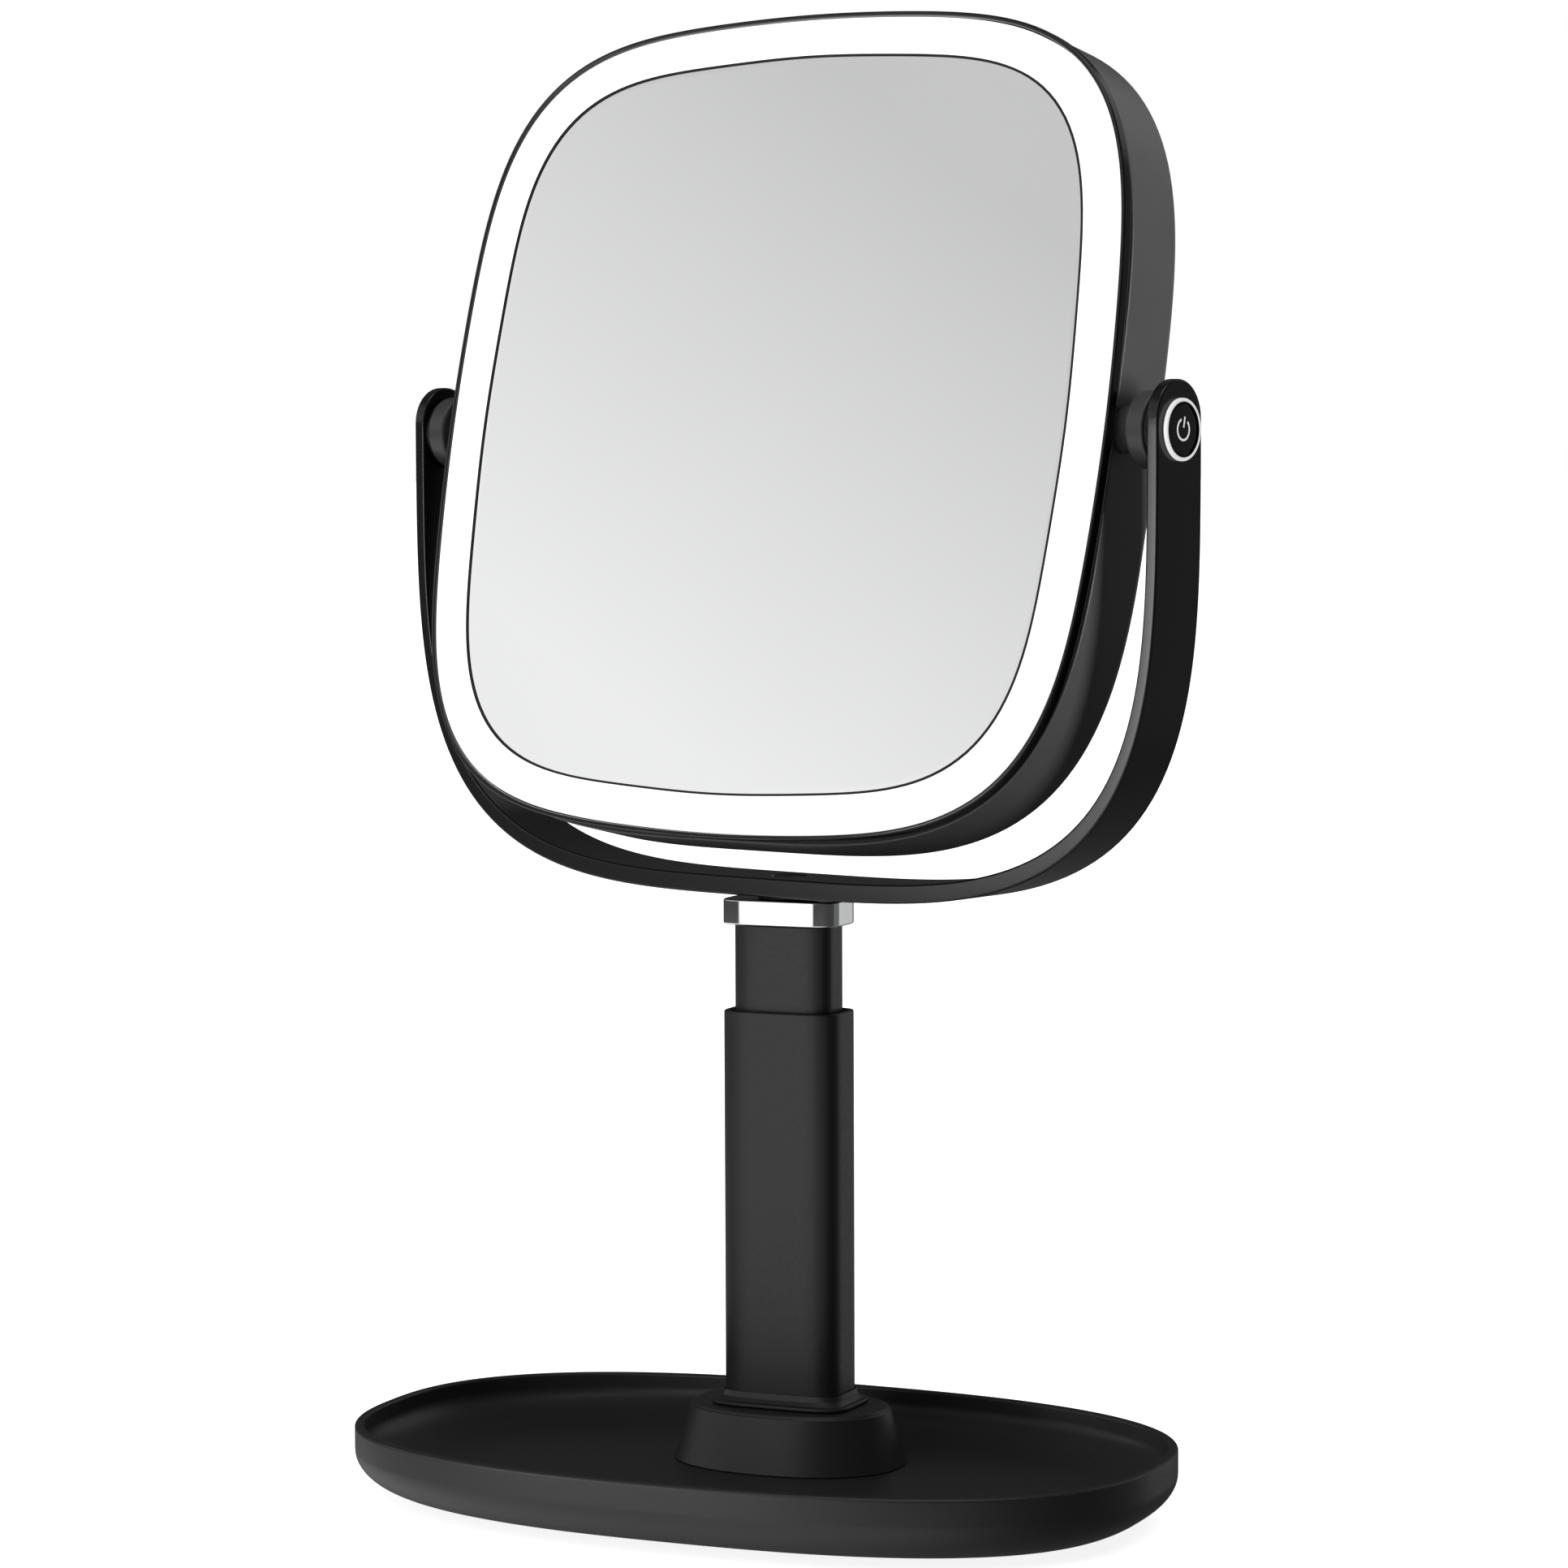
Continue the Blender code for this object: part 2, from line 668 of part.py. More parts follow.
def build_yoke(swivel):
    arm = part("yoke_arm", loft("yoke_arm", yoke_sections()), SATIN_BLACK, swivel)
    bores = []
    for side in (-1, 1):
        bores.append(((side * YOKE_OUTER[0] - 0.01, 0, 0), "X", 0.02, ARM_HOLE_RADIUS, ARM_HOLE_RADIUS))
    boolean(arm, cutter("arm_bores", rods_mesh("arm_bores", bores, ROUND_STEPS), swivel))
    strap_top = -YOKE_INNER[1]
    strap_bottom = -YOKE_OUTER[1]
    hole = ((0, 0, strap_bottom - 0.002), "Z", 0.010, SWIVEL_HOLE_RADIUS, SWIVEL_HOLE_RADIUS)
    boolean(arm, cutter("strap_hole", rods_mesh("strap_hole", [hole], SCREW_STEPS), swivel))
    sink_depth = 0.0030
    sink = ((0, 0, strap_top - sink_depth), "Z", sink_depth + 0.001, SWIVEL_HOLE_RADIUS - 0.0002, 0.0066)
    boolean(arm, cutter("strap_sink", rods_mesh("strap_sink", [sink], SCREW_STEPS), swivel))

    head_top = strap_top - 0.0001
    nut_top = POST_TOP - 0.0172 - PIVOT_HEIGHT
    nut_bottom = nut_top - 0.0040
    screw_levels = [
        (0.0043, head_top),
        (SWIVEL_SCREW_RADIUS, head_top - 0.0024),
        (SWIVEL_SCREW_RADIUS, nut_bottom - 0.0012),
        (SWIVEL_SCREW_RADIUS - 0.0005, nut_bottom - 0.0018),
    ]
    rings = [flat_ring(superellipse((radius, radius), 2, SCREW_STEPS), z) for radius, z in screw_levels]
    part("swivel_screw", loft("swivel_screw", rings), STEEL, swivel)

    washer_bottom = COLLAR_TOP - PIVOT_HEIGHT + GAP
    part(
        "swivel_washer",
        sleeve(
            "swivel_washer",
            (0.0085, 0.0085),
            (SWIVEL_HOLE_RADIUS, SWIVEL_HOLE_RADIUS),
            2,
            washer_bottom,
            strap_bottom - GAP,
            ROUND_STEPS,
        ),
        NYLON,
        swivel,
    )
    part(
        "spring_washer",
        sleeve("spring_washer", (0.0046, 0.0046), (0.0027, 0.0027), 2, nut_top + GAP, nut_top + 0.0013, 24),
        STEEL,
        swivel,
    )
    part("lock_nut", nut_mesh("lock_nut", 0.0046, 0.0027, nut_bottom, nut_top), STEEL, swivel)


def nut_mesh(name, corner_radius, bore, bottom, top):
    """A hexagon nut along Z. Its bore has four points for each of the hexagon's sides."""
    count = 24
    outline = []
    for i in range(count):
        angle = 2 * math.pi * i / count
        offset = (angle % (math.pi / 3)) - math.pi / 6
        reach = corner_radius * math.cos(math.pi / 6) / math.cos(offset)
        outline.append((reach * math.cos(angle), reach * math.sin(angle)))
    hole = superellipse((bore, bore), 2, count)
    rings = [
        flat_ring(outline, bottom),
        flat_ring(outline, top),
        flat_ring(hole, top),
        flat_ring(hole, bottom),
    ]
    return loft(name, rings, closed=True)


# ---------------------------------------------------------------- head


def head_ring(half, power, y, soften=0.0):
    return upright_ring(superellipse(half, power, HEAD_STEPS, soften), y)


def build_light_and_glass(tilt):
    ring_back = RING_FRONT + RING_THICKNESS
    ring_outer = shrunk(RING_HALF, 0.0001)
    ring_inner = shrunk(GLASS_HALF, -GAP)
    rings = [
        head_ring(shrunk(ring_outer, 0.0003), RING_POWER, RING_FRONT, RING_SOFTEN),
        head_ring(ring_outer, RING_POWER, RING_FRONT + 0.0003, RING_SOFTEN),
        head_ring(ring_outer, RING_POWER, ring_back, RING_SOFTEN),
        head_ring(ring_inner, GLASS_POWER, ring_back, GLASS_SOFTEN),
        head_ring(ring_inner, GLASS_POWER, RING_FRONT, GLASS_SOFTEN),
    ]
    part("light_diffuser", loft("light_diffuser", rings, closed=True), LIT_WHITE, tilt)

    glass_back = GLASS_FRONT + GLASS_THICKNESS
    rings = [
        head_ring(shrunk(GLASS_HALF, GLASS_BEVEL), GLASS_POWER, GLASS_FRONT, GLASS_SOFTEN),
        head_ring(GLASS_HALF, GLASS_POWER, GLASS_FRONT + GLASS_BEVEL, GLASS_SOFTEN),
        head_ring(GLASS_HALF, GLASS_POWER, glass_back, GLASS_SOFTEN),
    ]
    part("mirror_glass", loft("mirror_glass", rings), SILVERED_GLASS, tilt)

    pad = shrunk(CARRIER_HALF, 0.0010)
    pad_front = glass_back + GAP
    pad_rings = [head_ring(pad, GLASS_POWER, y) for y in (pad_front, pad_front + MIRROR_PAD_THICKNESS)]
    part("mirror_pad", loft("mirror_pad", pad_rings), FOAM, tilt)

    bezel = [
        (-0.0003, RING_FRONT + 0.0001),
        (-0.0009, RING_FRONT - 0.0003),
        (-0.0014, RING_FRONT + 0.0004),
        (-0.0015, RING_FRONT + 0.0028),
        (-0.0011, RING_FRONT + 0.0036),
        (0.0010, RING_FRONT + 0.0038),
        (0.0010, HOUSING_FRONT - GAP),
        (0.0045, HOUSING_FRONT - GAP),
        (0.0045, 0.0010),
        (0.0065, 0.0010),
        (0.0065, ring_back + GAP),
        (-0.0003, ring_back + GAP),
    ]
    rings = [head_ring(shrunk(RING_HALF, inset), RING_POWER, y, RING_SOFTEN) for inset, y in bezel]
    frame = part("front_bezel", loft("front_bezel", rings, closed=True), GLOSS_BLACK, tilt)
    boolean(frame, cutter("bezel_pockets", nut_pockets(), tilt))


def nut_pockets():
    """Clearance on both sides for the nuts that hold the pivot bosses."""
    (near, far), (front, back), (low, high) = NUT_POCKET
    size = (far - near, back - front, high - low)
    middle_y = (front + back) / 2
    return box_mesh("nut_pockets", [((side * (near + far) / 2, middle_y, 0.0), size) for side in (-1, 1)])


def build_carrier(tilt):
    flange = shrunk(RING_HALF, FLANGE_INSET)
    inside = shrunk(CARRIER_HALF, 0.0020)
    rings = [
        head_ring(inside, GLASS_POWER, CARRIER_FRONT + CARRIER_PLATE),
        head_ring(inside, GLASS_POWER, FLANGE_BACK),
        head_ring(flange, RING_POWER, FLANGE_BACK, RING_SOFTEN),
        head_ring(flange, RING_POWER, FLANGE_FRONT, RING_SOFTEN),
        head_ring(CARRIER_HALF, GLASS_POWER, FLANGE_FRONT),
        head_ring(CARRIER_HALF, GLASS_POWER, CARRIER_FRONT),
    ]
    carrier = part("mirror_carrier", loft("mirror_carrier", rings), WHITE_PLASTIC, tilt)
    holes = []
    for x, z in HEAD_SCREW_PLACES:
        holes.append(((x, CARRIER_FRONT - 0.001, z), "Y", 0.005, HEAD_SCREW_HOLE, HEAD_SCREW_HOLE))
    holes.append(((LED_LEAD_HOLE[0], FLANGE_FRONT - 0.001, LED_LEAD_HOLE[1]), "Y", 0.005, 0.0012, 0.0012))
    boolean(carrier, cutter("carrier_holes", rods_mesh("carrier_holes", holes, SCREW_STEPS), tilt))
    sinks = [((x, CARRIER_FRONT - 0.0005, z), "Y", 0.0018, 0.0031, 0.0031) for x, z in HEAD_SCREW_PLACES]
    boolean(carrier, cutter("carrier_pockets", nut_pockets(), tilt))
    boolean(carrier, cutter("carrier_sinks", rods_mesh("carrier_sinks", sinks, SCREW_STEPS), tilt))

    board_back = FLANGE_FRONT - GAP
    board_front = board_back - BOARD_THICKNESS
    board_outer = shrunk(RING_HALF, FLANGE_INSET + 0.0002)
    board_inner = shrunk(CARRIER_HALF, -0.0005)
    rings = [
        head_ring(board_outer, RING_POWER, board_front, RING_SOFTEN),
        head_ring(board_outer, RING_POWER, board_back, RING_SOFTEN),
        head_ring(board_inner, GLASS_POWER, board_back),
        head_ring(board_inner, GLASS_POWER, board_front),
    ]
    board = part("led_board", loft("led_board", rings, closed=True), BOARD_WHITE, tilt)
    leds = []
    track = (board_outer[0] / 2 + board_inner[0] / 2, board_outer[1] / 2 + board_inner[1] / 2)
    for i in range(LED_COUNT):
        angle = 2 * math.pi * (i + 0.5) / LED_COUNT
        x, z = on_superellipse(track, (RING_POWER + GLASS_POWER) / 2, angle)
        leds.append(((x, board_front - 0.0002, z), (0.0028, 0.0014, 0.0028)))
    boolean(board, cutter("board_pockets", nut_pockets(), tilt))
    boolean(board, cutter("led_packages", box_mesh("led_packages", leds), tilt), "UNION")


def build_housing(tilt):
    outside = [(0.0, HOUSING_FRONT)]
    for i in range(5):
        angle = math.radians(22.5 * i)
        inset = HOUSING_BEND * (1 - math.cos(angle))
        outside.append((inset, HOUSING_REAR - HOUSING_BEND * (1 - math.sin(angle))))
    inside = [(HOUSING_BEND + 0.0010, REAR_INSIDE), (HOUSING_WALL + 0.0014, REAR_INSIDE - 0.0022)]
    inside += [(HOUSING_WALL, REAR_INSIDE - 0.0060), (HOUSING_WALL, HOUSING_FRONT)]
    rings = [head_ring(shrunk(HOUSING_HALF, inset), HOUSING_POWER, y) for inset, y in reversed(outside)]
    rings += [head_ring(shrunk(HOUSING_HALF, inset), HOUSING_POWER, y) for inset, y in reversed(inside)]
    housing = part("rear_housing", loft("rear_housing", rings), SATIN_BLACK, tilt)

    tower_front = CARRIER_FRONT + CARRIER_PLATE + GAP
    towers = [
        ((x, tower_front, z), "Y", REAR_INSIDE - tower_front + 0.001, 0.0032, 0.0032)
        for x, z in HEAD_SCREW_PLACES
    ]
    boolean(housing, cutter("screw_towers", rods_mesh("screw_towers", towers, SCREW_STEPS), tilt), "UNION")
    holes = []
    for x, z in HEAD_SCREW_PLACES:
        holes.append(((x, tower_front - 0.001, z), "Y", 0.0150, HEAD_SCREW_HOLE, HEAD_SCREW_HOLE))
    for side in (-1, 1):
        wall_middle = side * HOUSING_HALF[0]
        holes.append(((wall_middle - 0.006, 0, 0), "X", 0.012, STUD_HOLE_RADIUS, STUD_HOLE_RADIUS))
    boolean(housing, cutter("housing_holes", rods_mesh("housing_holes", holes, SCREW_STEPS), tilt))
    slot_middle = (INLET_PLACE[0], HOUSING_REAR, INLET_PLACE[1])
    slot = box_mesh("inlet_slot", [(slot_middle, (0.0096, 0.0100, 0.0040))])
    boolean(housing, cutter("inlet_slot", slot, tilt))

    screw_levels = [
        (0.0028, CARRIER_FRONT + 0.0001),
        (0.0028, CARRIER_FRONT + 0.0011),
        (0.0013, CARRIER_FRONT + 0.0011),
        (0.0013, CARRIER_FRONT + 0.0125),
        (0.0008, CARRIER_FRONT + 0.0135),
    ]
    for i, (x, z) in enumerate(HEAD_SCREW_PLACES):
        rings = []
        for radius, y in screw_levels:
            circle = superellipse((radius, radius), 2, SCREW_STEPS)
            rings.append([(x + u, y, z + v) for u, v in circle])
        part(f"housing_screw_{i + 1}", loft("housing_screw", rings), STEEL, tilt)


def inlet_mesh(front, rear):
    """A round-cornered socket shell, blind at its front end and open to the rear."""
    outer = (0.0045, 0.0016)
    inner = (0.0041, 0.0012)
    levels = [(outer, front), (outer, rear), (inner, rear), (inner, front + 0.0012)]
    rings = [upright_ring(superellipse(half, 4, 24), y) for half, y in levels]
    return loft("charging_inlet", rings)


def build_electronics(tilt):
    pack = part(
        "battery_pack",
        box_mesh("battery_pack", [((0.0, 0.0100, 0.012), (0.078, 0.0080, 0.054))]),
        FOIL,
        tilt,
    )
    rounding = pack.modifiers.new("rounding", "BEVEL")
    rounding.width = 0.0018
    rounding.segments = 2

    board_y = CONTROL_BOARD_Y
    board = part(
        "control_board",
        box_mesh("control_board", [((0.0, board_y, -0.072), (0.056, 0.0016, 0.036))]),
        BOARD_GREEN,
        tilt,
        smooth=False,
    )
    chips = [
        ((-0.016, 0.0016, -0.066), (0.0080, 0.0024, 0.0080)),
        ((0.002, 0.0014, -0.064), (0.0050, 0.0022, 0.0060)),
        ((0.016, 0.0022, -0.066), (0.0070, 0.0038, 0.0070)),
        ((-0.004, 0.0012, -0.078), (0.0040, 0.0020, 0.0030)),
        ((-0.018, 0.0016, -0.080), (0.0060, 0.0028, 0.0040)),
    ]
    on_board = [((x, board_y - lift, z), size) for (x, lift, z), size in chips]
    boolean(board, cutter("board_components", box_mesh("board_components", on_board), tilt), "UNION")

    inlet_front = board_y + 0.0008 + GAP
    inlet = part("charging_inlet", inlet_mesh(inlet_front, HOUSING_REAR - 0.0006), STEEL, tilt)
    inlet.location = (INLET_PLACE[0], 0, INLET_PLACE[1])

    lead(
        "battery_lead",
        [
            (0.030, 0.0100, -0.0157),
            (0.030, 0.0097, -0.0210),
            (0.0285, 0.0086, -0.0280),
            (0.0265, 0.0066, -0.0360),
            (0.0250, 0.0048, -0.0440),
            (0.0240, 0.0043, -0.0520),
            (0.0236, 0.0045, -0.0580),
        ],
        LEAD_RADIUS,
        LEAD_RED,
        tilt,
    )
    lead(
        "led_lead",
        [
            (0.020, 0.0048, -0.0840),
            (0.020, 0.0044, -0.0900),
            (0.020, 0.0038, -0.0945),
            (0.020, 0.0028, -0.0985),
            (0.020, 0.0012, -0.1005),
            (0.020, -0.0010, -0.1008),
        ],
        LEAD_RADIUS,
        LEAD_WHITE,
        tilt,
    )
    lead(
        "switch_lead",
        [
            (0.1203, 0.0, 0.0),
            (0.1100, 0.0, 0.0),
            (0.1042, 0.0, 0.0),
            (0.1031, 0.0006, 0.0),
            (0.1018, 0.0020, -0.0003),
            (0.1000, 0.0034, -0.0010),
            (0.0970, 0.0044, -0.0028),
            (0.0930, 0.0046, -0.0060),
            (0.0870, 0.0044, -0.0140),
            (0.0780, 0.0038, -0.0260),
            (0.0670, 0.0034, -0.0390),
            (0.0570, 0.0036, -0.0500),
            (0.0460, 0.0040, -0.0580),
            (0.0360, 0.0044, -0.0625),
            (0.0262, 0.0046, -0.0640),
        ],
        LEAD_RADIUS,
        LEAD_WHITE,
        tilt,
    )


def build_pivots(tilt):
    """Each boss turns with the head.

    Its sleeve passes through the arm and its stud through the housing's wall.
    """
    sleeve_end = YOKE_OUTER[0] + 0.0001
    neck_start = HOUSING_HALF[0] + 0.0004
    bore_end = SWITCH_BOARD_SPAN[0] - GAP
    profile = [
        (SLEEVE_BORE, sleeve_end),
        (SLEEVE_RADIUS, sleeve_end),
        (SLEEVE_RADIUS, BOSS_SHOULDER),
        (BOSS_RADIUS - 0.0004, BOSS_SHOULDER),
        (BOSS_RADIUS, BOSS_SHOULDER - 0.0004),
        (BOSS_RADIUS, BOSS_START + 0.0006),
        (BOSS_RADIUS - 0.0006, BOSS_START),
        (NECK_RADIUS, BOSS_START),
        (NECK_RADIUS, neck_start),
        (STUD_RADIUS, neck_start),
        (STUD_RADIUS, STUD_END),
        (WIRE_HOLE, STUD_END),
        (WIRE_HOLE, bore_end),
        (SLEEVE_BORE, bore_end),
    ]
    turned("pivot_boss_right", profile, ROUND_STEPS, SATIN_BLACK, tilt, axis="X")
    turned("pivot_boss_left", profile, ROUND_STEPS, SATIN_BLACK, tilt, axis="X", flip=True)

    bore, rim = WASHER_RADII
    inner_face, outer_face = WASHER_SPAN
    washer = [(rim, outer_face), (rim, inner_face), (bore, inner_face), (bore, outer_face)]
    turned("friction_washer_right", washer, ROUND_STEPS, NYLON, tilt, axis="X")
    turned("friction_washer_left", washer, ROUND_STEPS, NYLON, tilt, axis="X", flip=True)

    nut_outer = HOUSING_HALF[0] - HOUSING_WALL - 0.0005
    for side, word in ((1, "right"), (-1, "left")):
        nut = part(
            f"pivot_nut_{word}",
            nut_mesh(f"pivot_nut_{word}", 0.0049, STUD_HOLE_RADIUS, nut_outer - 0.0034, nut_outer),
            STEEL,
            tilt,
        )
        nut.rotation_euler = (0, side * math.pi / 2, 0)

    ring = [
        (SLEEVE_BORE, BUTTON_FACE + 0.0002),
        (CAP_RADIUS - 0.0003, BUTTON_FACE + 0.0002),
        (CAP_RADIUS, BUTTON_FACE - 0.0002),
        (CAP_RADIUS, CAP_SEAT),
        (SLEEVE_BORE, CAP_SEAT),
    ]
    turned("button_ring", ring, ROUND_STEPS, CHROME, tilt, axis="X")
    cap = [
        (0.0, BUTTON_FACE + 0.0002),
        (CAP_RADIUS - 0.0006, BUTTON_FACE + 0.0002),
        (CAP_RADIUS, BUTTON_FACE - 0.0003),
        (CAP_RADIUS, CAP_SEAT),
        (BUTTON_RADIUS, CAP_SEAT),
        (BUTTON_RADIUS, CAP_PLUG_END),
        (0.0, CAP_PLUG_END),
    ]
    turned("pivot_cap", cap, ROUND_STEPS, SATIN_BLACK, tilt, closed=False, axis="X", flip=True)

    board_back, board_front = SWITCH_BOARD_SPAN
    board = [
        (0.0, board_front),
        (SWITCH_BOARD_RADIUS, board_front),
        (SWITCH_BOARD_RADIUS, board_back),
        (0.0, board_back),
    ]
    turned("switch_board", board, ROUND_STEPS, BOARD_GREEN, tilt, closed=False, axis="X")
    switch = part(
        "tact_switch",
        box_mesh("tact_switch", [((SWITCH_MIDDLE, 0, 0), SWITCH_SIZE)]),
        GLOSS_BLACK,
        tilt,
        smooth=False,
    )
    rounding = switch.modifiers.new("rounding", "BEVEL")
    rounding.width = 0.0003
    rounding.segments = 1


def build_button(press):
    """The cap and its stem. Its parent's place is on the pivot axis, at the button's face."""
    stem_radius, stem_end = BUTTON_STEM
    profile = [
        (0.0, 0.0),
        (BUTTON_RADIUS - 0.0006, 0.0),
        (BUTTON_RADIUS, -0.0005),
        (BUTTON_RADIUS, -BUTTON_SKIRT),
        (stem_radius, -BUTTON_SKIRT),
        (stem_radius, stem_end - BUTTON_FACE),
        (0.0, stem_end - BUTTON_FACE),
    ]
    turned("power_button", profile, ROUND_STEPS, GLOSS_BLACK, press, closed=False, axis="X")


def main():
    build_base()
    build_post()
    swivel = empty("swivel_axis", (0, 0, PIVOT_HEIGHT), (0, 0, SWIVEL_ANGLE))
    build_yoke(swivel)
    tilt = empty("tilt_axis", (0, 0, 0), (TILT_ANGLE, 0, 0), swivel)
    build_light_and_glass(tilt)
    build_carrier(tilt)
    build_housing(tilt)
    build_electronics(tilt)
    build_pivots(tilt)
    press = empty("button_axis", (BUTTON_FACE, 0, 0), (0, 0, 0), tilt)
    build_button(press)


main()
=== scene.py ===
"""Looks of the lighted countertop mirror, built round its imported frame.

Metres, +Z up, the frame's own axes. Head pieces are modelled in the head's axes (X along the
pivot, -Y out of the glass, Z up the glass) and yoke pieces in the yoke's, both with their
origin on the pivot's centre. Sizes are read from the CAD nodes wherever a node has them.
"""
import json
import math

import bmesh
import bpy
from mathutils import Matrix, Vector


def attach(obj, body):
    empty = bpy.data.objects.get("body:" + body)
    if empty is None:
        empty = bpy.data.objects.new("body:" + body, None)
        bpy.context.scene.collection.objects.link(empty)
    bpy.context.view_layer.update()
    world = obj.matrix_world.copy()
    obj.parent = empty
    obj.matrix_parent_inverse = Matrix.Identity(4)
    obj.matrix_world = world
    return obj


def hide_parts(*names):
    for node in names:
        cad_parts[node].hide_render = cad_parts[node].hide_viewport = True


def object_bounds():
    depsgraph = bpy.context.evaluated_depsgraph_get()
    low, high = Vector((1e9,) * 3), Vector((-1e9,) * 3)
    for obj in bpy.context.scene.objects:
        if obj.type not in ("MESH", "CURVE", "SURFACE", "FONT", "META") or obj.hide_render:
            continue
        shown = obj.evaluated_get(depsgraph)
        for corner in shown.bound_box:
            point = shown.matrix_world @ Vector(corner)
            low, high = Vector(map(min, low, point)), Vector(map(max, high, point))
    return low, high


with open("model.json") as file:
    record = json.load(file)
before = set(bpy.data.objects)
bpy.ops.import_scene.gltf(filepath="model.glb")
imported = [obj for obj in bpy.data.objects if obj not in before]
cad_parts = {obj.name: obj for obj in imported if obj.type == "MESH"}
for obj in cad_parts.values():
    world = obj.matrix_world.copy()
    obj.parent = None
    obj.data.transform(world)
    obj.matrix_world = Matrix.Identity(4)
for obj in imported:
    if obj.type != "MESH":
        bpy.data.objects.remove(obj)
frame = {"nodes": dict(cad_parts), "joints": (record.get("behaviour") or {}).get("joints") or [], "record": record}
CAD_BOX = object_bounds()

# Outline shapes, as in the CAD: a superellipse's power and how far it is pulled in off the axes
TRAY_POWER = 2.53
HUB_POWER = 2.28
COLUMN_POWER = 5.0
YOKE_POWER = 3.686
YOKE_INNER_POWER = 3.80
RING_POWER = 3.682
RING_SOFTEN = -0.0035
GLASS_POWER = 3.947
GLASS_SOFTEN = -0.0048
HOUSING_POWER = 3.642

# The strap is thicker across its bend than up its arms
STRAP_ARM = 0.0035
STRAP_BEND = 0.0052

# Sizes shared by the pivots and the button: the bore they sit in and the lit ring's inside
PIVOT_BORE = 0.0069
LIT_RING_INNER = 0.0072

# Gap left round pieces that meet without touching
GAP = 0.0003

# Fineness of the finished surfaces
TRAY_STEPS = 288
HEAD_STEPS = 256
COLUMN_STEPS = 160
ROUND_STEPS = 72
SMOOTH_ANGLE = math.radians(32)


# ---------------------------------------------------------------- the frame's axes and sizes


def joint(name):
    return next(j for j in frame["joints"] if j["name"] == name)


def facing(node):
    """The direction that a plate's front face looks in."""
    total = Vector((0, 0, 0))
    for polygon in frame["nodes"][node].data.polygons:
        if polygon.normal.y < -0.5:
            total += polygon.normal * polygon.area
    return total.normalized()


PIVOT = Vector(joint("head_tilt")["pos_m"])
PIVOT_LINE = Vector(joint("head_tilt")["axis"])
SWIVEL = math.atan2(PIVOT_LINE.y, PIVOT_LINE.x)
TILT = -math.asin(facing("mirror_glass").z)

BASE = Matrix.Identity(4)
YOKE = Matrix.Translation(PIVOT) @ Matrix.Rotation(SWIVEL, 4, "Z")
HEAD = YOKE @ Matrix.Rotation(TILT, 4, "X")


def span(node, axes=BASE):
    """Lowest and highest corner of a CAD node, in a body's own axes."""
    back = axes.inverted()
    places = [back @ vertex.co for vertex in frame["nodes"][node].data.vertices]
    low = Vector([min(values) for values in zip(*places)])
    high = Vector([max(values) for values in zip(*places)])
    return low, high


# ---------------------------------------------------------------- shape helpers


def superellipse(half, power, steps, soften=0.0):
    """A rounded-square outline. soften pulls in eight places between the axes."""
    points = []
    for i in range(steps):
        angle = 2 * math.pi * i / steps
        c = math.cos(angle)
        s = math.sin(angle)
        reach = (abs(c) ** power + abs(s) ** power) ** (-1 / power)
        reach *= 1 + soften * (1 - math.cos(8 * angle))
        points.append((half[0] * reach * c, half[1] * reach * s))
    return points


def on_superellipse(half, power, angle):
    """One point of a superellipse."""
    c = math.cos(angle)
    s = math.sin(angle)
    reach = (abs(c) ** power + abs(s) ** power) ** (-1 / power)
    return (half[0] * reach * c, half[1] * reach * s)


def shrunk(half, inset):
    return (half[0] - inset, half[1] - inset)


def rounded(corners, steps=5, closed=True):
    """A profile through (u, v, radius) corners, with an arc of that radius at each."""
    points = []
    last = len(corners) - 1
    for i, (u, v, radius) in enumerate(corners):
        here = Vector((u, v))
        if radius == 0 or (not closed and i in (0, last)):
            points.append(here)
            continue
        before = Vector(corners[i - 1][:2]) - here
        after = Vector(corners[(i + 1) % len(corners)][:2]) - here
        half = before.angle(after) / 2
        room = 0.48 * min(before.length, after.length)
        reach = min(radius / math.tan(half), room)
        middle = (before.normalized() + after.normalized()).normalized()
        centre = here + middle * (reach / math.cos(half))
        start = here + before.normalized() * reach - centre
        end = here + after.normalized() * reach - centre
        sweep = start.angle(end)
        for k in range(steps + 1):
            part = k / steps
            mixed = start * math.sin((1 - part) * sweep) + end * math.sin(part * sweep)
            points.append(centre + mixed / math.sin(sweep))
    return [(point[0], point[1]) for point in points]


def level(outline, z, centre=(0.0, 0.0)):
    return [(u + centre[0], v + centre[1], z) for u, v in outline]


def upright(outline, y, centre=(0.0, 0.0)):
    return [(u + centre[0], y, v + centre[1]) for u, v in outline]


def cap(bm, loop):
    """Closes a loop with a narrow border inside it, so that the flat face shades flat."""
    middle = sum((vert.co for vert in loop), Vector((0, 0, 0))) / len(loop)
    inner = [bm.verts.new(middle + (vert.co - middle) * 0.985) for vert in loop]
    for i in range(len(loop)):
        j = (i + 1) % len(loop)
        bm.faces.new((loop[i], loop[j], inner[j], inner[i]))
    bm.faces.new(inner)


def finish_mesh(name, bm):
    bmesh.ops.recalc_face_normals(bm, faces=bm.faces[:])
    mesh = bpy.data.meshes.new(name)
    bm.to_mesh(mesh)
    bm.free()
    mesh.shade_smooth()
    mesh.set_sharp_from_angle(angle=SMOOTH_ANGLE)
    return mesh


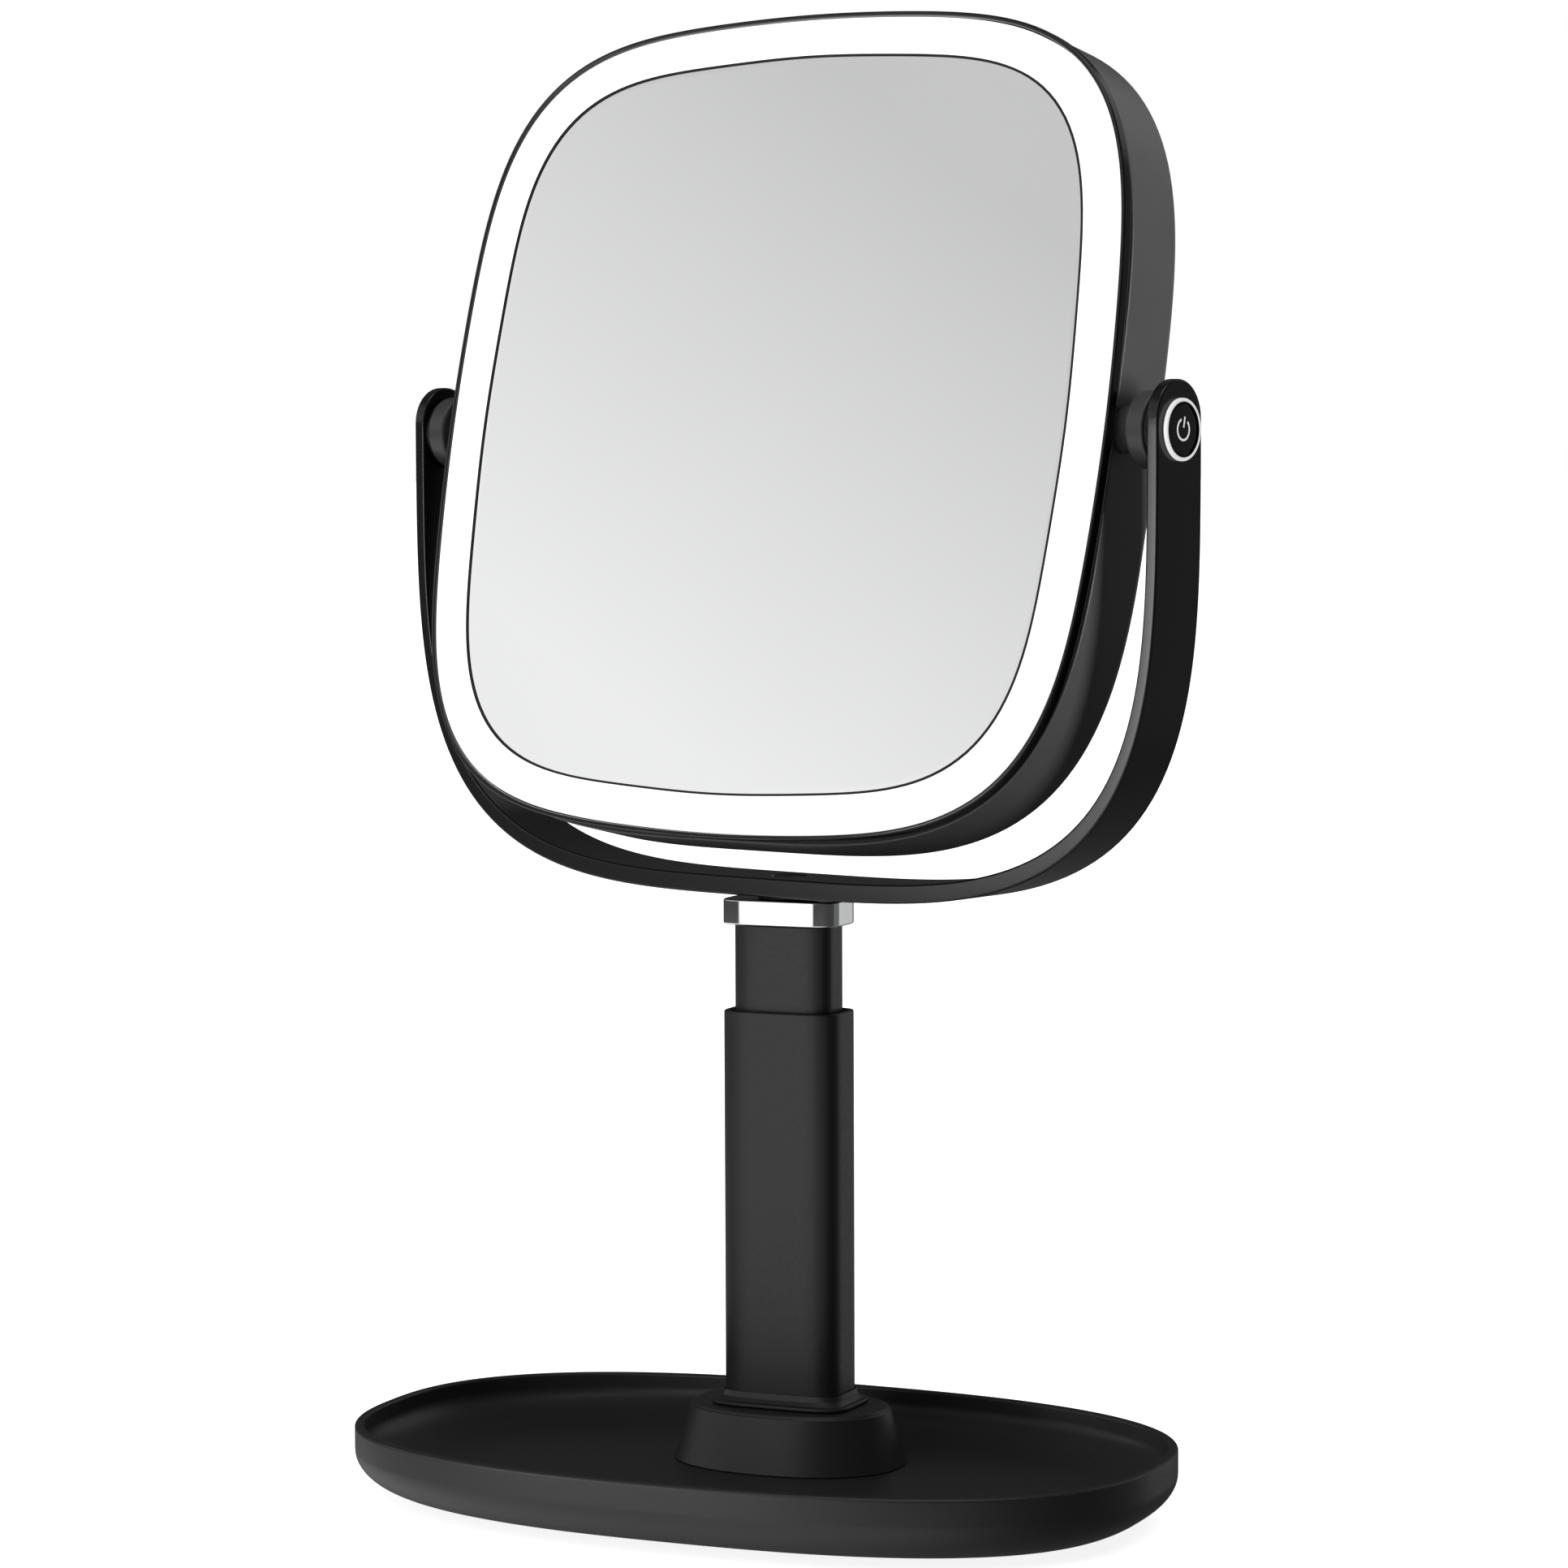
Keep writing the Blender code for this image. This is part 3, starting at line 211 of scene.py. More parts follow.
def skin(name, rings, closed=False):
    """Skins rings of equal count in order, capping an open stack and joining up a closed one."""
    bm = bmesh.new()
    loops = [[bm.verts.new(point) for point in ring] for ring in rings]
    count = len(loops[0])
    pairs = list(zip(loops, loops[1:]))
    if closed:
        pairs.append((loops[-1], loops[0]))
    for lower, upper in pairs:
        for i in range(count):
            j = (i + 1) % count
            bm.faces.new((lower[i], lower[j], upper[j], upper[i]))
    if not closed:
        cap(bm, loops[0])
        cap(bm, loops[-1])
    return finish_mesh(name, bm)


def turned(name, profile, closed=True, side=1):
    """Turns (radius, along) points round X. Side -1 makes the left-hand copy."""
    rings = []
    for radius, along in profile:
        circle = superellipse((radius, radius), 2, ROUND_STEPS)
        rings.append([(side * along, u, v) for u, v in circle])
    return skin(name, rings, closed)


def even_out(thing):
    """Lets broad faces set the normals along their edges, so that flats reflect as flats."""
    weighting = thing.modifiers.new("even_normals", "WEIGHTED_NORMAL")
    weighting.keep_sharp = True
    settled = thing.evaluated_get(bpy.context.evaluated_depsgraph_get())
    made = bpy.data.meshes.new_from_object(settled)
    made.name = thing.name
    thing.modifiers.remove(weighting)
    thing.data = made


def piece(name, mesh, body, axes, slot, material, *nodes):
    """One finished piece: placed, riding on its body, and standing for its CAD nodes."""
    thing = bpy.data.objects.new(name, mesh)
    bpy.context.scene.collection.objects.link(thing)
    thing.matrix_world = axes
    even_out(thing)
    if not thing.data.materials:
        thing.data.materials.append(material)
    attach(thing, body)
    if nodes:
        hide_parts(*nodes)
    return thing


def changed(name, mesh, bevel=0.0, cuts=()):
    """A copy of a mesh with its sharp edges rounded and then tools cut out of it."""
    scratch = bpy.data.objects.new(name, mesh)
    bpy.context.scene.collection.objects.link(scratch)
    if bevel:
        edges = scratch.modifiers.new("edges", "BEVEL")
        edges.width = bevel
        edges.segments = 4
        edges.limit_method = "ANGLE"
        edges.angle_limit = math.radians(40)
    tools = []
    for i, tool_mesh in enumerate(cuts):
        tool = bpy.data.objects.new(f"{name}_tool_{i}", tool_mesh)
        bpy.context.scene.collection.objects.link(tool)
        cut = scratch.modifiers.new(tool.name, "BOOLEAN")
        cut.operation = "DIFFERENCE"
        cut.solver = "EXACT"
        cut.object = tool
        tools.append(tool)
    settled = scratch.evaluated_get(bpy.context.evaluated_depsgraph_get())
    made = bpy.data.meshes.new_from_object(settled)
    made.name = name
    for thing in [scratch, *tools]:
        bpy.data.objects.remove(thing)
    made.shade_smooth()
    made.set_sharp_from_angle(angle=SMOOTH_ANGLE)
    return made


def rod(name, start, end, radius, end_radius=None, steps=ROUND_STEPS):
    """A cylinder or cone between two points."""
    line = Vector(end) - Vector(start)
    bm = bmesh.new()
    bmesh.ops.create_cone(
        bm,
        cap_ends=True,
        segments=steps,
        radius1=radius,
        radius2=radius if end_radius is None else end_radius,
        depth=line.length,
        matrix=Matrix.Translation((Vector(start) + Vector(end)) / 2)
        @ line.to_track_quat("Z", "Y").to_matrix().to_4x4(),
    )
    return finish_mesh(name, bm)


# ---------------------------------------------------------------- materials


def shader_of(name, colour, roughness, metallic=0.0):
    made = bpy.data.materials.new(name)
    made.use_nodes = True
    shader = made.node_tree.nodes["Principled BSDF"]
    shader.inputs["Base Color"].default_value = (*colour, 1.0)
    shader.inputs["Roughness"].default_value = roughness
    shader.inputs["Metallic"].default_value = metallic
    return made, made.node_tree, shader


def noise(tree, scale, detail=2.0, stretch=(1, 1, 1)):
    """Noise in the piece's own coordinates. scale is in features per metre."""
    nodes = tree.nodes
    place = nodes.new("ShaderNodeTexCoord")
    mapping = nodes.new("ShaderNodeMapping")
    mapping.inputs["Scale"].default_value = stretch
    texture = nodes.new("ShaderNodeTexNoise")
    texture.inputs["Scale"].default_value = scale
    texture.inputs["Detail"].default_value = detail
    tree.links.new(place.outputs["Object"], mapping.inputs["Vector"])
    tree.links.new(mapping.outputs["Vector"], texture.inputs["Vector"])
    return texture.outputs["Fac"]


def spread(tree, source, low, high):
    """Stretches a noise's usual middle range to low..high."""
    change = tree.nodes.new("ShaderNodeMapRange")
    change.inputs["From Min"].default_value = 0.3
    change.inputs["From Max"].default_value = 0.7
    change.inputs["To Min"].default_value = low
    change.inputs["To Max"].default_value = high
    tree.links.new(source, change.inputs["Value"])
    return change.outputs["Result"]


def tint(tree, shader, source, dark, light):
    """Colours the surface between two tones."""
    ramp = tree.nodes.new("ShaderNodeValToRGB")
    ramp.color_ramp.elements[0].position = 0.3
    ramp.color_ramp.elements[0].color = (*dark, 1.0)
    ramp.color_ramp.elements[1].position = 0.7
    ramp.color_ramp.elements[1].color = (*light, 1.0)
    tree.links.new(source, ramp.inputs["Fac"])
    tree.links.new(ramp.outputs["Color"], shader.inputs["Base Color"])
    return ramp.outputs["Color"]


def bump(tree, shader, source, depth, strength=1.0):
    relief = tree.nodes.new("ShaderNodeBump")
    relief.inputs["Distance"].default_value = depth
    relief.inputs["Strength"].default_value = strength
    tree.links.new(source, relief.inputs["Height"])
    tree.links.new(relief.outputs["Normal"], shader.inputs["Normal"])


def satin(name, tone, roughness, specular=0.5, grain=0.000006, mottle=0.03):
    """Fine-textured moulded black: a faint mottle in tone and gloss over a spark-eroded grain."""
    made, tree, shader = shader_of(name, (tone, tone, tone), roughness)
    cloud = noise(tree, 60, 3)
    tint(tree, shader, cloud, (tone * 0.96,) * 3, (tone * 1.04, tone * 1.04, tone * 1.03))
    gloss = spread(tree, noise(tree, 900, 2), roughness - mottle, roughness + mottle)
    tree.links.new(gloss, shader.inputs["Roughness"])
    bump(tree, shader, noise(tree, 3200, 2), grain)
    shader.inputs["Specular IOR Level"].default_value = specular
    return made


def gloss_black(name):
    made, tree, shader = shader_of(name, (0.008, 0.008, 0.009), 0.12)
    tint(tree, shader, noise(tree, 90, 2), (0.006, 0.006, 0.007), (0.011, 0.011, 0.012))
    tree.links.new(spread(tree, noise(tree, 700, 2), 0.10, 0.16), shader.inputs["Roughness"])
    return made


def chrome(name):
    made, tree, shader = shader_of(name, (0.88, 0.89, 0.9), 0.05, 1.0)
    tint(tree, shader, noise(tree, 120, 2), (0.86, 0.87, 0.88), (0.91, 0.92, 0.93))
    tree.links.new(spread(tree, noise(tree, 500, 3), 0.03, 0.07), shader.inputs["Roughness"])
    return made


def steel(name, tone=0.55, roughness=0.32):
    """Plated steel with a faint directional brushing."""
    made, tree, shader = shader_of(name, (tone, tone, tone), roughness, 1.0)
    brushing = noise(tree, 1500, 3, (1, 1, 0.06))
    tint(tree, shader, brushing, (tone * 0.9,) * 3, (tone * 1.08, tone * 1.08, tone * 1.1))
    tree.links.new(spread(tree, brushing, roughness - 0.06, roughness + 0.08), shader.inputs["Roughness"])
    bump(tree, shader, brushing, 0.000004)
    return made


def silvered(name):
    """Silvered glass: a clean mirror with the faintest variation in its silvering."""
    made, tree, shader = shader_of(name, (0.97, 0.975, 0.975), 0.0, 1.0)
    tint(tree, shader, noise(tree, 14, 2), (0.965, 0.97, 0.97), (0.975, 0.98, 0.98))
    tree.links.new(spread(tree, noise(tree, 30, 2), 0.0, 0.006), shader.inputs["Roughness"])
    return made


def opal(name, glow):
    """Opal acrylic, lit from behind."""
    made, tree, shader = shader_of(name, (0.95, 0.95, 0.95), 0.35)
    tint(tree, shader, noise(tree, 40, 2), (0.93, 0.93, 0.925), (0.96, 0.96, 0.96))
    tree.links.new(spread(tree, noise(tree, 800, 2), 0.3, 0.42), shader.inputs["Roughness"])
    shader.inputs["Emission Color"].default_value = (1.0, 0.995, 0.985, 1.0)
    shader.inputs["Emission Strength"].default_value = glow
    return made


def moulded(name, colour, roughness, scatter=0.0):
    """Plain moulded plastic or nylon, a little cloudy."""
    made, tree, shader = shader_of(name, colour, roughness)
    dark = tuple(value * 0.93 for value in colour)
    light = tuple(min(1.0, value * 1.05) for value in colour)
    tint(tree, shader, noise(tree, 80, 3), dark, light)
    tree.links.new(
        spread(tree, noise(tree, 1000, 2), roughness - 0.05, roughness + 0.05), shader.inputs["Roughness"]
    )
    bump(tree, shader, noise(tree, 2500, 2), 0.000005)
    shader.inputs["Subsurface Weight"].default_value = scatter
    return made


def rubber(name):
    """Matt rubber sheet with a fine pebble."""
    made, tree, shader = shader_of(name, (0.03, 0.03, 0.03), 0.85)
    tint(tree, shader, noise(tree, 200, 3), (0.024, 0.024, 0.024), (0.038, 0.038, 0.038))
    cells = tree.nodes.new("ShaderNodeTexVoronoi")
    cells.inputs["Scale"].default_value = 900
    place = tree.nodes.new("ShaderNodeTexCoord")
    tree.links.new(place.outputs["Object"], cells.inputs["Vector"])
    bump(tree, shader, cells.outputs["Distance"], 0.00006)
    return made


def foam(name):
    made, tree, shader = shader_of(name, (0.1, 0.1, 0.1), 0.95)
    open_cells = noise(tree, 1800, 4)
    tint(tree, shader, open_cells, (0.06, 0.06, 0.06), (0.14, 0.14, 0.14))
    bump(tree, shader, open_cells, 0.0001)
    return made


def board(name, mask, copper):
    """Solder-masked laminate with copper tracks showing through."""
    made, tree, shader = shader_of(name, mask, 0.4)
    tracks = tree.nodes.new("ShaderNodeTexBrick")
    tracks.inputs["Scale"].default_value = 220
    tracks.inputs["Mortar Size"].default_value = 0.03
    tracks.inputs["Color1"].default_value = (*mask, 1.0)
    tracks.inputs["Color2"].default_value = (*(value * 0.85 for value in mask), 1.0)
    tracks.inputs["Mortar"].default_value = (*copper, 1.0)
    place = tree.nodes.new("ShaderNodeTexCoord")
    turn = tree.nodes.new("ShaderNodeMapping")
    turn.inputs["Rotation"].default_value = (math.pi / 2, 0, 0)
    tree.links.new(place.outputs["Object"], turn.inputs["Vector"])
    tree.links.new(turn.outputs["Vector"], tracks.inputs["Vector"])
    tree.links.new(tracks.outputs["Color"], shader.inputs["Base Color"])
    tree.links.new(spread(tree, noise(tree, 600, 2), 0.34, 0.46), shader.inputs["Roughness"])
    return made


def foil(name):
    """A pouch cell's laminated foil, lightly wrinkled."""
    made, tree, shader = shader_of(name, (0.5, 0.51, 0.53), 0.35, 0.7)
    creases = noise(tree, 160, 4)
    tint(tree, shader, creases, (0.42, 0.43, 0.45), (0.56, 0.57, 0.59))
    tree.links.new(spread(tree, creases, 0.28, 0.45), shader.inputs["Roughness"])
    bump(tree, shader, creases, 0.0003)
    return made


def insulation(name, colour):
    made, tree, shader = shader_of(name, colour, 0.5)
    tint(tree, shader, noise(tree, 300, 2), tuple(value * 0.88 for value in colour), colour)
    tree.links.new(spread(tree, noise(tree, 900, 2), 0.42, 0.56), shader.inputs["Roughness"])
    return made


BLACK_HOUSING = satin("housing_black", 0.070, 0.38, mottle=0.015)
BLACK_YOKE = satin("yoke_black", 0.008, 0.23, grain=0.000001, mottle=0.006)
BLACK_COLUMN = satin("column_black", 0.022, 0.38)
BLACK_TRAY = satin("tray_black", 0.027, 0.40)
BLACK_ACETAL = satin("acetal_black", 0.008, 0.45, specular=0.3)
GLOSS = gloss_black("gloss_black")
CHROME = chrome("chrome")
STEEL = steel("steel")
SCREW_BLACK = steel("blackened_steel", 0.05, 0.4)
MIRROR = silvered("silvered_glass")
LIGHT = opal("lit_opal", 0.97)
ICON = opal("icon_white", 0.55)
WHITE = moulded("white_plastic", (0.82, 0.82, 0.8), 0.45)
NYLON = moulded("nylon", (0.75, 0.73, 0.68), 0.45, 0.1)
RUBBER = rubber("rubber")
FOAM = foam("foam")
GREEN_BOARD = board("green_board", (0.02, 0.15, 0.06), (0.10, 0.30, 0.12))
FOIL = foil("pouch_foil")
LEAD = insulation("lead_insulation", (0.45, 0.03, 0.02))

BY_SLOT = {
    "satin_black": BLACK_HOUSING,
    "black_acetal": BLACK_ACETAL,
    "gloss_black": GLOSS,
    "chrome": CHROME,
    "steel": STEEL,
    "mirror": MIRROR,
    "light_ring": LIGHT,
    "white_plastic": WHITE,
    "nylon": NYLON,
    "rubber": RUBBER,
    "foam": FOAM,
    "circuit_board": GREEN_BOARD,
    "battery_foil": FOIL,
    "lead": LEAD,
}


def dress_cad_nodes():
    """Every CAD node that stays gets the procedural finish of its record slot."""
    for entry in frame["record"]["subparts"]:
        node = frame["nodes"][entry["node"]]
        node.data.materials.clear()
        node.data.materials.append(BY_SLOT[entry["material_slot"]])


# ---------------------------------------------------------------- base


def build_tray():
    low, high = span("tray")
    half = ((high.x - low.x) / 2, (high.y - low.y) / 2)
    centre = ((high.x + low.x) / 2, (high.y + low.y) / 2)
    floor_top = span("hub_cover")[0].z - GAP
    floor_underside = span("ballast_plate")[1].z + GAP
    recess = 0.0250
    recess_edge = 0.0004
    foot = 0.0200
    wall = 0.0026
    under_rim = high.z - 0.0030
    profile = [
        (recess, floor_underside),
        (recess, low.z + recess_edge),
        (recess - recess_edge, low.z),
    ]
    profile += quarter((foot, low.z), (0.0, low.z + 0.0122), 18, outward=True)
    rim = [(0.0, under_rim, 0), (0.0, high.z, 0.0010), (wall, high.z, 0.0008), (wall, under_rim, 0)]
    profile += rounded(rim, steps=6, closed=False)
    profile += quarter((wall, floor_top + 0.0078), (wall + 0.0190, floor_top), 20, outward=False)
    rings = tray_rings(half, centre, profile)
    piece("tray_shell", skin("tray_shell", rings), "base", BASE, "satin_black", BLACK_TRAY, "tray")


def tray_rings(half, centre, profile):
    """Rings of the tray's outline at (inset, height) points."""
    return [
        level(superellipse(shrunk(half, inset), TRAY_POWER, TRAY_STEPS), z, centre)
        for inset, z in profile
    ]


def quarter(start, end, steps, outward):
    """A quarter ellipse between two (inset, height) points.

    An outward one leaves its start level and arrives upright.
    """
    points = []
    for i in range(steps + 1):
        angle = math.pi / 2 * i / steps
        if outward:
            across = start[0] + (end[0] - start[0]) * math.sin(angle)
            up = start[1] + (end[1] - start[1]) * (1 - math.cos(angle))
        else:
            across = start[0] + (end[0] - start[0]) * (1 - math.cos(angle))
            up = start[1] + (end[1] - start[1]) * math.sin(angle)
        points.append((across, up))
    return points


def build_pad():
    """The non-slip sheet, with a rounded edge and a shallow sunk border."""
    low, high = span("non_slip_pad")
    half = ((high.x - low.x) / 2, (high.y - low.y) / 2)
    centre = ((high.x + low.x) / 2, (high.y + low.y) / 2)
    profile = rounded(
        [(0.0060, low.z, 0), (0.0, low.z, 0.0003), (0.0, high.z, 0.0002), (0.0060, high.z, 0)],
        closed=False,
    )
    rings = tray_rings(half, centre, profile)
    piece("base_pad", skin("base_pad", rings), "base", BASE, "rubber", RUBBER, "non_slip_pad")


def column_half():
    low, high = span("column")
    return ((high.x - low.x) / 2, (high.y - low.y) / 2)


def build_hub():
    low, high = span("hub_cover")
    foot = ((high.x - low.x) / 2, (high.y - low.y) / 2)
    top = (foot[0] - 0.0046, foot[1] - 0.0048)
    hole = shrunk(column_half(), -GAP)
    wall = 0.0022
    height = high.z - low.z
    rings = []
    steps = 10
    shoulder = 0.0011
    for i in range(steps + 1):
        part = (height - shoulder) / height * i / steps
        half = tuple(a + (b - a) * part for a, b in zip(foot, top))
        rings.append((half, HUB_POWER, low.z + height * part))
    for i in range(1, 7):
        angle = math.pi / 2 * i / 6
        inset = shoulder * (1 - math.cos(angle))
        z = high.z - shoulder * (1 - math.sin(angle))
        rings.append((shrunk(top, inset), HUB_POWER, z))
    for part in (0.2, 0.5, 0.8, 1.0):
        half = tuple(a - shoulder + (b - a + shoulder) * part for a, b in zip(top, hole))
        power = HUB_POWER + (COLUMN_POWER - HUB_POWER) * part
        rings.append((half, power, high.z))
    rings.append((hole, COLUMN_POWER, high.z - wall))
    rings.append((shrunk(top, wall), HUB_POWER, high.z - wall))
    rings.append((shrunk(foot, wall), HUB_POWER, low.z))
    loops = [level(superellipse(half, power, COLUMN_STEPS), z) for half, power, z in rings]
    mesh = skin("hub", loops, closed=True)
    piece("hub", mesh, "base", BASE, "satin_black", BLACK_TRAY, "hub_cover")


def build_foot_ring():
    """The flare round the column's foot: a thin lip, then a hollow curve up to the column."""
    low, high = span("column_foot_ring")
    half = column_half()
    lip = 0.0032
    top = high.z - low.z
    corners = [
        (-lip, 0.0, 0.0002),
        (-lip, 0.0009, 0.0004),
        (-0.0020, 0.0011, 0.0006),
        (-0.0009, 0.0022, 0.0016),
        (-0.0004, top, 0.0),
        (-0.0003, top, 0.0),
        (-0.0003, 0.0, 0.0),
    ]
    rings = [
        level(superellipse(shrunk(half, inset), COLUMN_POWER, COLUMN_STEPS), low.z + rise)
        for inset, rise in rounded(corners, 5)
    ]
    mesh = skin("foot_ring", rings, closed=True)
    piece("foot_ring", mesh, "base", BASE, "satin_black", BLACK_COLUMN, "column_foot_ring")


def tube(name, half, wall, low, high, rim):
    """A level tube with a rounded rim at its top."""
    corners = [(0.0, low, 0), (0.0, high, rim), (wall, high, rim), (wall, low, 0)]
    rings = [
        level(superellipse(shrunk(half, inset), COLUMN_POWER, COLUMN_STEPS), z)
        for inset, z in rounded(corners, 4)
    ]
    return skin(name, rings, closed=True)


def build_column():
    low, high = span("column")
    mesh = tube("outer_column", column_half(), 0.0014, low.z, high.z, 0.0005)
    piece("outer_column", mesh, "base", BASE, "satin_black", BLACK_COLUMN, "column")


# ---------------------------------------------------------------- post and yoke


def build_post():
    low, high = span("inner_post")
    half = ((high.x - low.x) / 2, (high.y - low.y) / 2)
    mesh = tube("sliding_post", half, 0.0014, low.z, high.z, 0.0003)
    piece("sliding_post", mesh, "post", BASE, "satin_black", BLACK_COLUMN, "inner_post")


def build_collar():
    low, high = span("chrome_collar")
    half = ((high.x - low.x) / 2, (high.y - low.y) / 2)
    corners = [(0.0090, low.z, 0), (0.0, low.z, 0.0005), (0.0, high.z, 0.0005), (0.0090, high.z, 0)]
    rings = [
        level(superellipse(shrunk(half, inset), COLUMN_POWER, COLUMN_STEPS), z)
        for inset, z in rounded(corners, 6, closed=False)
    ]
    bore = rod("collar_bore", (0, 0, low.z - 0.01), (0, 0, high.z + 0.01), 0.0028)
    mesh = changed("bright_collar", skin("collar_blank", rings), cuts=[bore])
    piece("bright_collar", mesh, "post", BASE, "chrome", CHROME, "chrome_collar")


def strap_mesh():
    """The bent strap with square edges: round-ended arms joined by a rounded-square bend."""
    low, high = span("yoke_arm", YOKE)
    outer = (high.x, -low.z)
    inner = (outer[0] - STRAP_ARM, outer[1] - STRAP_BEND)
    half_width = high.y
    straight = high.z - half_width
    bend_steps = 150
    bm = bmesh.new()
    sections = [section(bm, -outer[0], -inner[0], straight, half_width)]
    for i in range(bend_steps + 1):
        angle = math.pi + math.pi * i / bend_steps
        out_x, out_z = on_superellipse(outer, YOKE_POWER, angle)
        in_x, in_z = on_superellipse(inner, YOKE_INNER_POWER, angle)
        sections.append(section(bm, out_x, in_x, out_z, half_width, in_z))
    sections.append(section(bm, outer[0], inner[0], straight, half_width))
    for one, other in zip(sections, sections[1:]):
        for i in range(4):
            j = (i + 1) % 4
            bm.faces.new((one[i], one[j], other[j], other[i]))
    for last, side in ((sections[0], -1), (sections[-1], 1)):
        round_end(bm, last, side * outer[0], side * inner[0], straight, half_width)
    return finish_mesh("strap", bm)


def section(bm, out_x, in_x, out_z, half_width, in_z=None):
    """Four corners: outer front, outer back, inner back, inner front."""
    in_z = out_z if in_z is None else in_z
    corners = [(out_x, -half_width, out_z), (out_x, half_width, out_z)]
    corners += [(in_x, half_width, in_z), (in_x, -half_width, in_z)]
    return [bm.verts.new(corner) for corner in corners]


def round_end(bm, last, out_x, in_x, straight, radius):
    """Ends an arm with a half circle, seen from the side."""
    steps = 20
    outer_rim = [last[0]]
    inner_rim = [last[3]]
    for i in range(1, steps):
        angle = math.pi * i / steps
        y = -radius * math.cos(angle)
        z = straight + radius * math.sin(angle)
        outer_rim.append(bm.verts.new((out_x, y, z)))
        inner_rim.append(bm.verts.new((in_x, y, z)))
    outer_rim.append(last[1])
    inner_rim.append(last[2])
    for i in range(steps):
        bm.faces.new((outer_rim[i], outer_rim[i + 1], inner_rim[i + 1], inner_rim[i]))
    bm.faces.new(outer_rim)
    bm.faces.new(inner_rim)


def build_yoke():
    low, high = span("yoke_arm", YOKE)
    strap_top = low.z + STRAP_BEND
    hole = 0.00765
    cuts = [
        rod("arm_hole_right", (high.x - 0.02, 0, 0), (high.x + 0.01, 0, 0), hole),
        rod("arm_hole_left", (-high.x - 0.01, 0, 0), (-high.x + 0.02, 0, 0), hole),
        rod("strap_hole", (0, 0, low.z - 0.01), (0, 0, strap_top + 0.001), 0.0028),
        rod("strap_sink", (0, 0, strap_top - 0.0028), (0, 0, strap_top + 0.0008), 0.0026, 0.0062),
    ]
    mesh = changed("yoke_strap", strap_mesh(), bevel=0.0006, cuts=cuts)
    piece("yoke_strap", mesh, "yoke", YOKE, "satin_black", BLACK_YOKE, "yoke_arm")


def cross_recess(name, place, radius, depth):
    """Tools for a Phillips recess: two tapered bars at right angles, cut down along -Z."""
    thin = radius * 0.28
    tip = 0.25
    bars = []
    for half_x, half_y in ((radius, thin), (thin, radius)):
        corners = [(half_x, half_y), (-half_x, half_y), (-half_x, -half_y), (half_x, -half_y)]
        rings = []
        for taper, rise in ((tip, -depth), (1.0, depth)):
            tapered = [(taper * u, taper * v) for u, v in corners]
            rings.append(level(tapered, place[2] + rise, place))
        bars.append(skin(f"{name}_{len(bars)}", rings))
    return bars


def build_swivel_screw():
    """The countersunk screw whose head shows in the bottom of the yoke."""
    low, high = span("swivel_screw", YOKE)
    head = 0.0043
    shank = 0.0024
    profile = rounded(
        [
            (0.0020, high.z, 0),
            (head, high.z, 0.0002),
            (shank, high.z - 0.0024, 0.0004),
            (shank, low.z + 0.0006, 0.0002),
            (shank - 0.0005, low.z, 0),
        ],
        closed=False,
    )
    rings = [level(superellipse((radius, radius), 2, ROUND_STEPS), z) for radius, z in profile]
    recess = cross_recess("screw_recess", (0, 0, high.z), 0.0022, 0.0013)
    mesh = changed("swivel_screw_fine", skin("swivel_screw_blank", rings), cuts=recess)
    piece("swivel_screw_fine", mesh, "yoke", YOKE, "steel", SCREW_BLACK, "swivel_screw")


# ---------------------------------------------------------------- head


def head_loop(half, power, y, soften=0.0):
    return upright(superellipse(half, power, HEAD_STEPS, soften), y)


def half_of(node):
    low, high = span(node, HEAD)
    return (high.x, high.z)


def build_glass():
    low, high = span("mirror_glass", HEAD)
    half = half_of("mirror_glass")
    bevel = 0.00015
    loops = [
        head_loop(shrunk(half, bevel), GLASS_POWER, low.y, GLASS_SOFTEN),
        head_loop(shrunk(half, bevel * 0.3), GLASS_POWER, low.y + bevel * 0.3, GLASS_SOFTEN),
        head_loop(half, GLASS_POWER, low.y + bevel, GLASS_SOFTEN),
        head_loop(half, GLASS_POWER, high.y, GLASS_SOFTEN),
    ]
    piece("silvered_glass", skin("silvered_glass", loops), "head", HEAD, "mirror", MIRROR, "mirror_glass")

    # Painted shade: a thin dark rubber strip fills the gap between the glass and the lit ring, standing in for the
    # shadow that falls in that gap.
    front = low.y - 0.0003
    lip = 0.00015
    outer = -0.00045
    clear = 0.00003
    gap_shade = [
        (lip, low.y - clear),
        (lip, front),
        (outer, front),
        (outer, high.y),
        (-clear, high.y),
        (-clear, low.y - clear),
    ]
    loops = [head_loop(shrunk(half, inset), GLASS_POWER, y, GLASS_SOFTEN) for inset, y in gap_shade]
    mesh = skin("glass_seal", loops, closed=True)
    piece("glass_seal", mesh, "head", HEAD, "rubber", RUBBER)


def build_diffuser():
    low, high = span("light_diffuser", HEAD)
    outer = half_of("light_diffuser")
    glass = half_of("mirror_glass")
    loops = [
        head_loop(shrunk(outer, inset), RING_POWER, y, RING_SOFTEN)
        for inset, y in rounded(
            [(0.0040, low.y, 0), (0.0, low.y, 0.0004), (0.0, high.y, 0)], steps=5, closed=False
        )
    ]
    opening = -0.00047
    chamfer = 0.0001
    inside = [
        (opening, high.y),
        (opening, low.y + chamfer),
        (opening - chamfer, low.y),
        (-0.0040, low.y),
    ]
    loops += [head_loop(shrunk(glass, inset), GLASS_POWER, y, GLASS_SOFTEN) for inset, y in inside]
    mesh = skin("lit_ring", loops, closed=True)
    piece("lit_ring", mesh, "head", HEAD, "light_ring", LIGHT, "light_diffuser")


